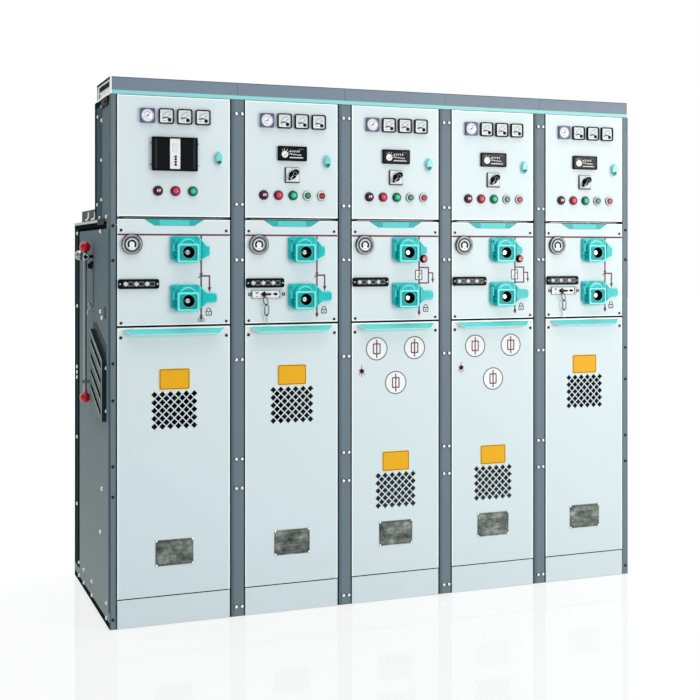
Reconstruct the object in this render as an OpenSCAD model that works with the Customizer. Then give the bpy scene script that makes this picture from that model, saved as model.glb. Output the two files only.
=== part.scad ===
// Ring main unit: a line-up of five metal-enclosed switchgear bays.
// Millimetres. +X runs along the row to the right, +Y runs from the front to
// the rear, +Z is up. The origin is on the floor, at the middle of the plan.

/* [Line-up] */
// Width of the first bay, which holds the voltage transformers
bay1_w = 512; // [504:2:540]
// Width of each of the four other bays
bay_w = 462; // [458:2:490]
// Depth of the body from the front panels to the rear covers
body_d = 900; // [880:10:1000]
// Height of the body under the instrument boxes
body_h = 1600; // [1580:10:1650]

/* [Front] */
// Height of the kick plates above the floor
kick_h = 112; // [100:2:120]
// Height of the mechanism panels
mech_h = 417; // [412:1:430]
// Height of the instrument doors
inst_h = 473; // [468:1:490]
// Depth of the instrument boxes
inst_d = 340; // [320:5:380]
// Width of the cover strips between two bays
strip_w = 58; // [54:1:58]
// Gap around every door
gap = 3; // [3:0.5:4]
// Thickness of the sheet steel
sheet = 2; // [1.5:0.5:2]

/* [Operating parts] */
// Radius of the operating holes in the mechanism covers
socket_r = 24; // [20:1:26]
// Radius of the switch shafts
shaft_r = 12; // [10:1:14]
// Travel of the push buttons
button_travel = 4; // [2:0.5:4]
// Radius of the anchor holes in the base
anchor_r = 7; // [6:0.5:9]

/* [Hidden] */

e = 0.02;                               // overlap that joins shapes of one piece
row_w = bay1_w + 4*bay_w;               // width of the whole line-up
xl = -row_w/2;                          // left end of the line-up
xr = row_w/2;                           // right end of the line-up
yf = -body_d/2;                         // front face of the doors
yb = body_d/2;                          // rear face of the rear covers
fit = 0.2;                              // gap between assembled sheets and bars
strip_d = 3;                            // strips lie this far behind the doors
bays = [0, 1, 2, 3, 4];
feeders = [1, 2, 3, 4];                 // bays with selector and push buttons

// Boundary on the left of bay i, and door edges and centre of bay i
function bx(i) = i == 0 ? xl : xl + bay1_w + (i - 1)*bay_w;
function dl(i) = i == 0 ? xl + 25 + gap : bx(i) + strip_w/2 + gap;
function dr(i) = bx(i + 1) - strip_w/2 - gap;
function xc(i) = (dl(i) + dr(i))/2;
// Depth behind the front face
function f(d) = yf + d;

base_h = 60;                            // height of the base bars
mech_z1 = body_h - 3;                   // top of the mechanism panels
mech_z0 = mech_z1 - mech_h;             // bottom of the mechanism panels
cab_z0 = kick_h + 4;                    // bottom of the cable doors
cab_z1 = mech_z0 - 8;                   // top of the cable doors
ins_z0 = body_h + 8;                    // bottom of the instrument doors
ins_z1 = ins_z0 + inst_h;               // top of the instrument doors
top_z = ins_z1 + 2;                     // top of the instrument boxes
head_z = top_z + 67;                    // top of the header duct
post_d0 = 5;                            // posts start this far behind the front
post_d1 = 29;                           // and end here
box_y = f(inst_d);                      // rear of the instrument boxes

hinge_x = 5;                            // door pin from the left door edge
hinge_d = 5;                            // door pin behind the door face
pin_r = 3;                              // door pin radius
run = 0.05;                             // radial running clearance

tilt_d = 12;                            // cable door pin behind its face
tilt_z = cab_z0 + 12;                   // cable door pin height
tilt_r = 4;                             // cable door pin radius

load_z = body_h - 133;                  // load switch shaft height
earth_z = body_h - 325;                 // earth switch shaft height
function shaft_x(i) = xc(i) + 50;       // both shafts of a bay

meter_z = ins_z0 + 395;                 // row of meters
disp_z = ins_z0 + 263;                  // display
sel_z = ins_z0 + 175;                   // selector switch
lamp_z = ins_z0 + 92;                   // lamps and push buttons
lock_z = ins_z0 + 234;                  // door lock
function meter_x(i, k) = xc(i) + 3 + (k - 1.5)*74;
function lamp_x(i, k) = xc(i) + 4 + (i == 0 ? (k - 1)*70 : (k - 2)*62.5);
function lock_x(i) = dr(i) - 47;

trip_z = body_h - 160;                  // fuse trip button height
function trip_x(i) = xc(i) + 128;

lever_x = xl - 32;                      // stored operating lever
lever_y = yf + 402;
lever_z0 = 863;
lever_z1 = body_h - 110;

strip_bolt_z = [39, 516, 634, 1034, body_h - 164, body_h + 60, ins_z1 - 56];

// ---------------------------------------------------------------- helpers

module slab(x0, x1, y0, y1, z0, z1)
  translate([x0, y0, z0]) cube([x1 - x0, y1 - y0, z1 - z0]);

// Cylinder along Y at (x, z), from depth d0 to depth d1 behind the front face
module ycyl(x, z, d0, d1, r, n = 48)
  translate([x, f(d0), z]) rotate([-90, 0, 0]) cylinder(r = r, h = d1 - d0, $fn = n);

// Cylinder along X
module xcyl(x0, x1, y, z, r, n = 48)
  translate([x0, y, z]) rotate([0, 90, 0]) cylinder(r = r, h = x1 - x0, $fn = n);

// Cylinder along Z
module zcyl(x, y, z0, z1, r, n = 48)
  translate([x, y, z0]) cylinder(r = r, h = z1 - z0, $fn = n);

// Rectangle with rounded corners in the XZ plane, between two depths
module rplate(x, z, w, h, r, d0, d1)
  translate([x, f(d1), z]) rotate([90, 0, 0]) linear_extrude(d1 - d0) {
    square([w - 2*r, h], center = true);
    square([w, h - 2*r], center = true);
    for (sx = [-1, 1], sz = [-1, 1])
      translate([sx*(w/2 - r), sz*(h/2 - r)]) circle(r = r, $fn = 32);
  }

// Folded sheet tray, open to the rear
module tray(x0, x1, z0, z1, depth) difference() {
  slab(x0, x1, f(0), f(depth), z0, z1);
  slab(x0 + sheet, x1 - sheet, f(sheet), f(depth + 1), z0 + sheet, z1 - sheet);
}

// ---------------------------------------------------------------- structure

module base_and_posts() color([0.33, 0.38, 0.40]) {
  // base bars, crossbars and anchor lugs with their holes
  slab(xl, xr, f(post_d0), f(55), 0, base_h);
  slab(xl, xr, yb - 55, yb - 2, 0, base_h);
  for (x = [xl, xr - 50]) slab(x, x + 50, f(55) + fit, yb - 55 - fit, 0, base_h);
  for (i = feeders)
    slab(bx(i) - 20, bx(i) + 20, f(55) + fit, yb - 55 - fit, 0, base_h);
  for (sx = [-1, 1], sy = [-1, 1]) difference() {
    translate([sx*(xr - 90), sy*(yb - 96), 4]) cube([79.6, 81.6, 8], center = true);
    zcyl(sx*(xr - 90), sy*(yb - 96), -1, 9, anchor_r);
  }
  // front posts
  slab(xl + sheet, xl + 23, f(post_d0), f(post_d1), base_h + fit, top_z);
  for (i = feeders)
    slab(bx(i) - 27, bx(i) + 27, f(post_d0), f(post_d1), base_h + fit, top_z);
  slab(xr - 27, xr - sheet, f(post_d0), f(post_d1), base_h + fit, top_z);
  // rear posts
  for (x = [xl, xr - 40]) slab(x, x + 40, yb - 48, yb - 2, base_h + fit, body_h - 2);
  for (i = feeders)
    slab(bx(i) - 20, bx(i) + 20, yb - 48, yb - 2, base_h + fit, body_h - 2);
  for (i = bays) {
    px0 = (i == 0 ? xl + 23 : bx(i) + 27) + fit;
    px1 = bx(i + 1) - 27 - fit;
    // rails that carry the mechanism panels
    for (z = [[mech_z0 - 6, mech_z0 + 14], [mech_z1 - 14, mech_z1]]) {
      slab(px0, px1, f(post_d0), f(post_d1), z[0], z[1]);
      slab(dl(i), dr(i), f(sheet), f(post_d0) + e, z[0], z[1]);
    }
    // pivot brackets of the cable door
    for (s = [0, 1]) {
      hx = s == 0 ? dl(i) + 6 : dr(i) - 10;
      difference() {
        union() {
          xcyl(hx, hx + 4, f(tilt_d), tilt_z, 8);
          slab(hx, hx + 4, f(tilt_d), f(post_d1), tilt_z, tilt_z + 8);
          slab(s == 0 ? px0 : hx, s == 0 ? hx + 4 : px1,
               f(23), f(post_d1), tilt_z, tilt_z + 8);
        }
        xcyl(hx - 1, hx + 5, f(tilt_d), tilt_z, tilt_r + run);
      }
    }
  }
}

// Slatted hood over the air outlet in the left side
module louvre_hood() {
  y0 = yf + 82; y1 = yf + 372; z0 = 800; za = 1040; zb = 1150;
  difference() {
    translate([xl - 18, 0, 0]) rotate([90, 0, 90]) linear_extrude(18 - fit)
      polygon([[y0, z0], [y1, z0], [y1, zb], [y0, za]]);
    translate([xl - 16, 0, 0]) rotate([90, 0, 90]) linear_extrude(17)
      polygon([[y0 + 2, z0 + 2], [y1 - 2, z0 + 2], [y1 - 2, zb - 4], [y0 + 2, za - 3]]);
    for (k = [0 : 3])
      translate([xl - 19, 0, -34 - k*62]) rotate([90, 0, 90]) linear_extrude(4)
        polygon([[y0 + 24, za - 2], [y0 + 24, za + 20],
                 [y1 - 28, zb], [y1 - 28, zb - 22]]);
  }
}

module end_panels() color([0.36, 0.41, 0.43]) {
  slab(xl, xl + sheet, f(post_d0), yb - 48, base_h, body_h - 2);
  slab(xr - sheet, xr, f(post_d0), yb - 48, base_h, body_h - 2);
  slab(xl, xl + sheet, f(post_d0), box_y, body_h, top_z);
  slab(xr - sheet, xr, f(post_d0), box_y, body_h, top_z);
  louvre_hood();
  // clips for the stored operating lever
  for (z = [lever_z0 + 60, lever_z1 - 46]) difference() {
    slab(lever_x - 12, xl - fit, lever_y - 15, lever_y + 15, z, z + 12);
    slab(lever_x - 13, lever_x, lever_y - 7.6, lever_y + 7.6, z - 1, z + 13);
    zcyl(lever_x, lever_y, z - 1, z + 13, 7.6);
  }
}

module partition_walls() color([0.72, 0.74, 0.75])
  for (i = feeders) difference() {
    slab(bx(i) - 1, bx(i) + 1, f(post_d1), yb - 48, base_h, body_h - 112);
    // notch for the earth bar
    slab(bx(i) - 2, bx(i) + 2, yb - 62, yb - 47, base_h + 12, base_h + 68);
  }

module rear_and_roof_covers() color([0.45, 0.50, 0.52]) {
  for (i = bays) {
    slab(bx(i) + 4, bx(i + 1) - 4, yb - 2, yb, base_h + 2, body_h - 4);
    slab(bx(i) + 0.5, bx(i + 1) - 0.5, f(post_d1), yb, body_h - 2, body_h);
    // pressed fields of the rear cover
    for (z = [[base_h + 70, body_h/2 - 50], [body_h/2 + 10, body_h - 70]])
      slab(bx(i) + 60, bx(i + 1) - 60, yb - e, yb + 3, z[0], z[1]);
    // pressure relief flap on the roof
    slab(bx(i) + 70, bx(i + 1) - 70, box_y + 80, yb - 80, body_h + fit, body_h + 3);
  }
  // folded edges of the roof over both sides
  slab(xl - 3, xl - fit, f(75), yb - 20, body_h - 26, body_h);
  slab(xr + fit, xr + 3, f(75), yb - 20, body_h - 26, body_h);
  // lifting angle on the roof at the left end
  slab(xl + 8, xl + 12, box_y + 6, box_y + 400, body_h + fit, body_h + 48);
  slab(xl + 12 + fit, xl + 52, box_y + 6, box_y + 400, body_h + fit, body_h + 4);
}

module instrument_boxes() color([0.72, 0.74, 0.75])
  for (i = bays) {
    x0 = bx(i) + (i == 0 ? sheet : 1);
    x1 = bx(i + 1) - (i == 4 ? sheet : 1);
    for (x = [x0, x1 - sheet])
      slab(x, x + sheet, f(post_d1), box_y - 2 - fit, body_h + 4 + fit, top_z - fit);
    slab(x0, x1, box_y - 2, box_y, body_h + 4 + fit, top_z - fit);
    slab(x0, x1, f(post_d1) + fit, box_y, body_h + 1, body_h + 4);
    slab(x0, x1, f(post_d1) + fit, box_y, top_z, top_z + 3);
    // hinge brackets of the instrument door
    for (z = [body_h + 1, top_z]) difference() {
      slab(dl(i), dl(i) + 24, f(1.2), f(post_d1), z, z + 3);
      zcyl(dl(i) + hinge_x, f(hinge_d), z - 1, z + 4, pin_r + run);
    }
  }

module header_duct() color([0.49, 0.55, 0.61]) {
  hd = 300;
  slab(xl, xr, f(0), f(sheet), top_z + 16, head_z);
  slab(xl, xr, f(0), f(1), top_z, top_z + 16 - fit);
  slab(xl, xr, f(sheet) + fit, f(hd), top_z + 3, top_z + 5);
  slab(xl, xr, f(hd - 2), f(hd), top_z + 5 + fit, head_z);
  slab(xl, xr, f(sheet) + fit, f(hd - 2) - fit, head_z - 2, head_z);
  // end plates with a slot for the wires to the next row
  for (x = [xl + 3, xr - 5]) difference() {
    slab(x, x + 2, f(sheet) + fit, f(hd - 2) - fit, top_z + 5 + fit, head_z - 2 - fit);
    slab(x - 1, x + 3, f(22), f(262), top_z + 28, head_z - 13);
  }
  // small-wiring terminal rail inside the duct
  slab(xl + 40, xr - 40, f(240), f(275), top_z + 5 + fit, top_z + 12);
}

module cover_strips() color([0.42, 0.49, 0.54]) {
  slab(xl, xl + 25, f(strip_d), f(post_d0), 2, top_z);
  for (i = feeders)
    slab(bx(i) - strip_w/2, bx(i) + strip_w/2, f(strip_d), f(post_d0), 2, top_z);
  slab(xr - strip_w/2, xr, f(strip_d), f(post_d0), 2, top_z);
}

// Domed bolt head standing on a face that looks to -Y
module bolt(x, z, d, r, h)
  translate([x, f(d), z]) rotate([90, 0, 0])
    rotate_extrude($fn = 24)
      polygon([[0, 0], [r, 0], [r, h*0.35], [r*0.8, h*0.8], [r*0.4, h], [0, h]]);

// Domed bolt head standing on the left side
module side_bolt(y, z, r, h)
  translate([xl, y, z]) rotate([0, -90, 0])
    rotate_extrude($fn = 24)
      polygon([[0, 0], [r, 0], [r, h*0.35], [r*0.8, h*0.8], [r*0.4, h], [0, h]]);

// Domed bolt heads standing on the right side and on the rear
module right_bolt(y, z, r, h)
  translate([xr, y, z]) rotate([0, 90, 0])
    rotate_extrude($fn = 24)
      polygon([[0, 0], [r, 0], [r, h*0.35], [r*0.8, h*0.8], [r*0.4, h], [0, h]]);

module rear_bolt(x, z, r, h)
  translate([x, yb, z]) rotate([-90, 0, 0])
    rotate_extrude($fn = 24)
      polygon([[0, 0], [r, 0], [r, h*0.35], [r*0.8, h*0.8], [r*0.4, h], [0, h]]);

module fasteners() color([0.86, 0.88, 0.88]) {
  for (i = feeders, z = strip_bolt_z, s = [-1, 1]) bolt(bx(i) + 7 + s*12, z, strip_d, 7.5, 6);
  for (z = strip_bolt_z) { bolt(xl + 13, z, strip_d, 4, 3); bolt(xr - 14, z, strip_d, 4, 3); }
  for (i = bays, x = [dl(i) + 15, dr(i) - 15], z = [mech_z1 - 44, mech_z0 + 11])
    bolt(x, z, 0, 5, 3);
  for (y = [yf + 205, yf + 810], z = [body_h - 48, body_h - 372, 955, 340])
  { side_bolt(y, z, 8, 7); right_bolt(y, z, 8, 7); }
  for (i = bays, s = [0, 1], z = [base_h + 40, 580, 1080, body_h - 42])
    rear_bolt(s == 0 ? bx(i) + 22 : bx(i + 1) - 22, z, 6, 6);
  for (y = [yf + 70, yf + 415, yf + 625, yf + 760], z = [88, 30])
  { side_bolt(y, z, 7, 6); right_bolt(y, z, 7, 6); }
}

// ---------------------------------------------------------------- fixed front

module front_panels() color([0.86, 0.91, 0.93])
  for (i = bays) {
    difference() {
      slab(dl(i), dr(i), f(0), f(sheet), mech_z0, mech_z1);
      for (z = [load_z, earth_z]) ycyl(shaft_x(i), z, -1, sheet + 1, shaft_r + 4);
      if (i == 2 || i == 3) ycyl(trip_x(i), trip_z, -1, sheet + 1, 6.5);
    }
    tray(dl(i), dr(i), 2, kick_h, post_d0);
  }

module panel_indicators() color([0.15, 0.16, 0.17])
  for (i = bays) {
    // pressure gauge: bezel ring, dial and glass seat
    difference() {
      ycyl(dl(i) + 57, body_h - 101, -16, 0, 41, 64);
      ycyl(dl(i) + 57, body_h - 101, -17, -10, 34, 64);
    }
    // voltage presence indicator
    rplate(dl(i) + 83, body_h - 257, 161, 38, 4, -9, 0);
    for (k = [-1, 0, 1]) ycyl(dl(i) + 83 + k*42 - 8, body_h - 257, -12, -9, 9, 32);
    // guide ring of the fuse trip button
    if (i == 2 || i == 3) difference() {
      ycyl(trip_x(i), trip_z, -7, 0, 17);
      ycyl(trip_x(i), trip_z, -8, 1, 14.4);
    }
  }

// Cast cover around one operating hole. reach is the right end of its tab,
// tab_h and tab_dz the tab's height and place, cut whether the corner under
// the tab is cut away for a trip button
module mech_cover(x, z, reach, tab_h, tab_dz, cut) {
  // flange around the frame
  difference() {
    union() {
      rplate(x - 10, z + 17, 114, 94, 10, -12, 0);
      // arched boss above the hole
      intersection() {
        ycyl(x, z + 18, -22, 0, 46);
        slab(x - 60, x + 60, f(-22), f(0), z + 16, z + 66);
      }
      // right shoulder and tab
      translate([x, f(0), z]) rotate([90, 0, 0]) linear_extrude(14)
        polygon(cut
          ? [[38, 62], [46, 62], [80, tab_dz + tab_h/2], [80, tab_dz - tab_h/2],
             [58, -10], [50, -36], [38, -36]]
          : [[38, 62], [46, 62], [80, tab_dz + tab_h/2], [80, tab_dz - tab_h/2],
             [48, -36], [38, -36]]);
      rplate(x + (reach + 60)/2, z + tab_dz, reach - 60, tab_h,
             min(7, tab_h/2 - 1), -10, 0);
    }
    rplate(x - 2, z - 3, 90 + 2*fit, 77 + 2*fit, 9 + fit, -40, 1);
  }
  // raised square frame with the operating hole and a recessed front face
  difference() {
    rplate(x - 2, z - 3, 90, 77, 9, -36, 0);
    ycyl(x, z, -40, 1, socket_r, 64);
    rplate(x - 2, z - 3, 74, 61, 6, -40, -32);
  }
}

module mechanism_covers() color([0.10, 0.75, 0.77])
  for (i = bays) {
    trip = i == 2 || i == 3;
    mech_cover(shaft_x(i), load_z, 92, trip ? 30 : 40, trip ? 10 : 5, trip);
    mech_cover(shaft_x(i), earth_z, 122, 36, 11, false);
  }

module ring(x, y, z, w, h, r) translate([x, y, z]) rotate([90, 0, 0]) {
  for (s = [-1, 1]) translate([0, s*(h - w)/2, 0])
    rotate([0, 0, s > 0 ? 0 : 180])
      rotate_extrude(angle = 180, $fn = 32) translate([w/2, 0]) circle(r = r, $fn = 16);
  for (s = [-1, 1]) translate([s*w/2, 0, -0]) rotate([90, 0, 0])
    cylinder(r = r, h = h - w + 2*e, center = true, $fn = 16);
}

module key_interlocks() color([0.80, 0.82, 0.82])
  for (i = [1, 4]) {
    x = dl(i) + 91; z = body_h - 303;
    rplate(x, z, 128, 34, 4, -5, 0);
    // lock barrel and key bow
    ycyl(x - 16, z, -14, -5, 10);
    rplate(x + 22, z + 1, 34, 9, 3, -10, -5);
    // rings and key that hang from the barrel
    ring(x - 16, f(-17), z - 25, 19, 36, 1.6);
    ring(x - 14, f(-13), z - 58, 19, 36, 1.6);
    rplate(x - 14, z - 98, 12, 42, 5, -14, -12);
  }

// ---------------------------------------------------------------- inside

// The three phases: depth of each, and its place across bay i
phase_y = [yf + 330, yf + 470, yf + 610];
function phase_x(i, y) = xc(i) + (y - yf - 470)*0.9;

module busbars() color([0.80, 0.50, 0.28]) {
  // three phases of the main bus, along the whole row
  for (y = phase_y) slab(xl + 30, xr - 30, y - 4, y + 4, body_h - 84, body_h - 24);
  // risers from the switch bushings to the bus
  for (i = bays, y = phase_y) zcyl(phase_x(i, y), y, body_h - 96, body_h - 84 - fit, 14);
  // earth bar along the rear posts
  slab(xl + 60, xr - 60, yb - 54, yb - 48 - fit, base_h + 20, base_h + 60);
}

module switch_units() color([0.62, 0.33, 0.24])
  for (i = bays) {
    // switch tank with its upper and lower bushings
    slab(xc(i) - 185, xc(i) + 185, yf + 250, yf + 690, body_h - 400, body_h - 120);
    for (y = phase_y) {
      zcyl(phase_x(i, y), y, body_h - 120 + fit, body_h - 96, 30);
      zcyl(phase_x(i, y), y, body_h - 470, body_h - 400 - fit, 32);
    }
    // bearing plate of the spring drive, with both shaft bearings
    difference() {
      slab(xc(i) - 60, xc(i) + 150, f(110), f(122), earth_z - 60, load_z + 60);
      for (z = [load_z, earth_z]) ycyl(shaft_x(i), z, 109, 123, shaft_r + run);
    }
    // spacers between the bearing plate and the tank
    for (x = [xc(i) - 45, xc(i) + 135], z = [earth_z - 45, load_z - 5])
      ycyl(x, z, 122 + fit, 250 - fit, 9);
  }

module fuses_and_transformers() color([0.80, 0.78, 0.70]) {
  // high-voltage fuses of the two transformer feeders
  for (i = [2, 3], y = phase_y) {
    zcyl(phase_x(i, y), y, body_h - 500, body_h - 470, 36);
    zcyl(phase_x(i, y), y, body_h - 820, body_h - 500 - fit, 31);
    zcyl(phase_x(i, y), y, body_h - 850, body_h - 820 - fit, 36);
  }
  // voltage transformers of the first bay, on their stand
  slab(xl + 46, bx(1) - 14, yf + 300, yf + 700, 300, 306);
  for (x = [xl + 46, bx(1) - 18])
    slab(x, x + 4, yf + 300, yf + 700, base_h, 300 - fit);
  for (k = [-1, 0, 1]) {
    slab(xc(0) + k*130 - 55, xc(0) + k*130 + 55, yf + 360, yf + 620, 306 + fit, 520);
    zcyl(xc(0) + k*130, yf + 490, 520 + fit, 600, 30);
  }
  // cable lugs of the three cable feeders
  for (i = [0, 1, 4], y = phase_y)
    zcyl(phase_x(i, y), y, body_h - 540, body_h - 470, 16);
}

// ---------------------------------------------------------------- instrument doors

module instrument_door(i) color([0.86, 0.91, 0.93]) difference() {
  union() {
    tray(dl(i), dr(i), ins_z0, ins_z1, 20);
    // hinge pins
    zcyl(dl(i) + hinge_x, f(hinge_d), ins_z0 - 6.5, ins_z0 + 3, pin_r);
    zcyl(dl(i) + hinge_x, f(hinge_d), ins_z1 - 3, ins_z1 + 4.5, pin_r);
  }
  for (k = [0 : 3]) ycyl(meter_x(i, k), meter_z, -1, sheet + 1, 25.5);
  ycyl(lock_x(i), lock_z, -1, sheet + 1, 8);
  if (i == 0) {
    slab(xc(0) - 83, xc(0) + 83, f(-1), f(sheet + 1), disp_z - 76, disp_z + 43);
    for (k = [0 : 2]) ycyl(lamp_x(0, k), lamp_z + 9, -1, sheet + 1, 11);
  } else {
    slab(xc(i) - 57, xc(i) + 57, f(-1), f(sheet + 1), disp_z - 26, disp_z + 26);
    ycyl(xc(i), sel_z, -1, sheet + 1, 12);
    for (k = [0 : 4]) ycyl(lamp_x(i, k), lamp_z, -1, sheet + 1, 11);
  }
}

module meter(x, z, w) {
  rplate(x, z, w, w, 5, -14, 0);
  ycyl(x, z, -e, 45, 25);
}

module lamp(x, z) {
  ycyl(x, z, -7, 0, 20);
  ycyl(x, z, -14, -7 + e, 15.5);
  ycyl(x, z, -e, 45, 10.5);
}

// Guide ring, barrel and contact block of a push button
module button_seat(x, z) difference() {
  union() {
    ycyl(x, z, -8, 0, 20);
    ycyl(x, z, -e, 20, 10.6);
    slab(x - 14, x + 14, f(20 - e), f(55), z - 20, z + 20);
  }
  ycyl(x, z, -9, -2, 13.3);
  ycyl(x, z, -9, 20, 7.3);
}

module selector_seat(x, z) difference() {
  union() {
    rplate(x, z, 64, 64, 4, -6, 0);
    ycyl(x, z, -e, 20, 11.5);
    slab(x - 22, x + 22, f(20 - e), f(70), z - 22, z + 22);
  }
  ycyl(x, z, -7, 20, 5 + run);
}

module lock_seat(x, z) difference() {
  rplate(x, z, 36, 58, 17.9, -4, 0);
  ycyl(x, z, -5, 1, 6 + run);
}

module door_instruments(i) color([0.20, 0.21, 0.23]) {
  for (k = [0 : 3]) meter(meter_x(i, k), meter_z, k == 0 ? 58 : 61);
  lock_seat(lock_x(i), lock_z);
  if (i == 0) {
    // protection relay
    slab(xc(0) - 91, xc(0) + 91, f(-16), f(0), disp_z - 83, disp_z + 50);
    slab(xc(0) - 82.5, xc(0) + 82.5, f(0), f(120), disp_z - 75.5, disp_z + 42.5);
    for (k = [0 : 2]) lamp(lamp_x(0, k), lamp_z + 9);
  } else {
    // status display
    rplate(xc(i), disp_z, 124, 60, 3, -10, 0);
    slab(xc(i) - 56.5, xc(i) + 56.5, f(0), f(70), disp_z - 25.5, disp_z + 25.5);
    selector_seat(xc(i), sel_z);
    for (k = [0 : 2]) lamp(lamp_x(i, k), lamp_z);
    for (k = [3, 4]) button_seat(lamp_x(i, k), lamp_z);
  }
}

// Oval lock handle, its spindle and the cam behind the door
module door_lock(i) color([0.10, 0.70, 0.72]) {
  rplate(lock_x(i), lock_z, 26, 46, 12.9, -16, -4.5);
  ycyl(lock_x(i), lock_z, -5, 15, 6);
  slab(lock_x(i), lock_x(i) + 32, f(11), f(14), lock_z - 7, lock_z + 7);
}

module selector_knob(i) color([0.08, 0.08, 0.09]) {
  ycyl(xc(i), sel_z, -13, -6.5, 16);
  translate([xc(i), f(-13 + e), sel_z]) rotate([90, 0, 0])
    rotate([0, 0, 45]) linear_extrude(14) {
      square([42, 14], center = true);
      for (s = [-1, 1]) translate([s*21, 0]) circle(r = 7, $fn = 32);
    }
  ycyl(xc(i), sel_z, -7, 18, 5);
}

module push_button(x, z) {
  ycyl(x, z, -9 - button_travel, -2.5 - button_travel, 13);
  ycyl(x, z, -3 - button_travel, 18 - button_travel, 7);
}

module close_button(i) color([0.10, 0.62, 0.32]) push_button(lamp_x(i, 3), lamp_z);
module open_button(i) color([0.80, 0.14, 0.16]) push_button(lamp_x(i, 4), lamp_z);

// ---------------------------------------------------------------- cable doors

function vent_z(i) = (i == 2 || i == 3) ? cab_z1 - 708 : cab_z1 - 328;

module diamond(x, z, h) translate([x, f(sheet + 1), z]) rotate([90, 0, 0])
  linear_extrude(sheet + 2) polygon([[h, 0], [0, h], [-h, 0], [0, -h]]);

module cable_door(i) color([0.84, 0.90, 0.92]) {
  z = vent_z(i);
  difference() {
    tray(dl(i), dr(i), cab_z0, cab_z1, 20);
    // ventilation grille
    for (a = [0 : 5], b = [0 : 4]) diamond(xc(i) + (a - 2.5)*32, z + (b - 2)*31.5, 13);
    for (a = [0 : 4], b = [0 : 3]) diamond(xc(i) + (a - 2)*32, z + (b - 1.5)*31.5, 13);
    // notches for the pivot brackets
    for (x = [dl(i) + 8, dr(i) - 8])
      slab(x - 4, x + 4, f(sheet + 1), f(21), cab_z0 - 1, cab_z0 + sheet + 1);
  }
  // pivot pins
  xcyl(dl(i) + sheet - e, dl(i) + 13, f(tilt_d), tilt_z, tilt_r);
  xcyl(dr(i) - 13, dr(i) - sheet + e, f(tilt_d), tilt_z, tilt_r);
  // sloping finger lip along the top edge
  w = dr(i) - dl(i);
  translate([xc(i), f(0), cab_z1 - 7]) rotate([-148, 0, 0])
    translate([0, 0, -1]) linear_extrude(2)
      polygon([[-w/2 + 22, -1.8], [w/2 - 22, -1.8], [w/2 - 50, 38], [-w/2 + 50, 38]]);
}

// ---------------------------------------------------------------- switch shafts

// Shaft with its cross pin at the front and its drive arm behind the panel
module switch_shaft(i, z, turn) color([0.70, 0.71, 0.72]) {
  ycyl(shaft_x(i), z, -14, 248, shaft_r);
  translate([shaft_x(i), f(0), z]) rotate([0, turn, 0]) {
    translate([-18, -9, 0]) rotate([0, 90, 0]) cylinder(r = 3, h = 36, $fn = 24);
    translate([0, 60, -8]) cube([56, 10, 16]);
  }
}

module fuse_trip_button(i) color([0.75, 0.15, 0.17]) {
  ycyl(trip_x(i), trip_z, -17, -6, 14);
  ycyl(trip_x(i), trip_z, -7, 26, 6);
}

module operating_lever() color([0.72, 0.10, 0.13]) {
  zcyl(lever_x, lever_y, lever_z0, lever_z1, 7);
  translate([lever_x, lever_y, lever_z1]) sphere(r = 23, $fn = 48);
  translate([lever_x, lever_y, lever_z0]) sphere(r = 22, $fn = 48);
}

// ---------------------------------------------------------------- nodes

base_and_posts();
end_panels();
partition_walls();
rear_and_roof_covers();
instrument_boxes();
header_duct();
cover_strips();
fasteners();
front_panels();
panel_indicators();
mechanism_covers();
key_interlocks();
busbars();
switch_units();
fuses_and_transformers();
instrument_door(0);  // instrument_door_1
instrument_door(1);  // instrument_door_2
instrument_door(2);  // instrument_door_3
instrument_door(3);  // instrument_door_4
instrument_door(4);  // instrument_door_5
door_instruments(0);  // door_instruments_1
door_instruments(1);  // door_instruments_2
door_instruments(2);  // door_instruments_3
door_instruments(3);  // door_instruments_4
door_instruments(4);  // door_instruments_5
door_lock(0);  // door_lock_1
door_lock(1);  // door_lock_2
door_lock(2);  // door_lock_3
door_lock(3);  // door_lock_4
door_lock(4);  // door_lock_5
selector_knob(1);  // selector_knob_2
selector_knob(2);  // selector_knob_3
selector_knob(3);  // selector_knob_4
selector_knob(4);  // selector_knob_5
close_button(1);  // close_button_2
close_button(2);  // close_button_3
close_button(3);  // close_button_4
close_button(4);  // close_button_5
open_button(1);  // open_button_2
open_button(2);  // open_button_3
open_button(3);  // open_button_4
open_button(4);  // open_button_5
cable_door(0);  // cable_door_1
cable_door(1);  // cable_door_2
cable_door(2);  // cable_door_3
cable_door(3);  // cable_door_4
cable_door(4);  // cable_door_5
switch_shaft(0, load_z, 0);  // load_switch_shaft_1
switch_shaft(1, load_z, 0);  // load_switch_shaft_2
switch_shaft(2, load_z, 0);  // load_switch_shaft_3
switch_shaft(3, load_z, 0);  // load_switch_shaft_4
switch_shaft(4, load_z, 0);  // load_switch_shaft_5
switch_shaft(0, earth_z, 0);  // earth_switch_shaft_1
switch_shaft(1, earth_z, 0);  // earth_switch_shaft_2
switch_shaft(2, earth_z, 0);  // earth_switch_shaft_3
switch_shaft(3, earth_z, 0);  // earth_switch_shaft_4
switch_shaft(4, earth_z, 0);  // earth_switch_shaft_5
fuse_trip_button(2);  // fuse_trip_button_3
fuse_trip_button(3);  // fuse_trip_button_4
operating_lever();
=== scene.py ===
# Looks of the ring main unit: a line-up of five metal-enclosed switchgear bays.
# Lengths are millimetres until a mesh is made, in the same frame as the construction:
# +X along the row, +Y to the rear, +Z up, the floor at z = 0.
import math

import bpy
from mathutils import Matrix, Vector


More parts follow.
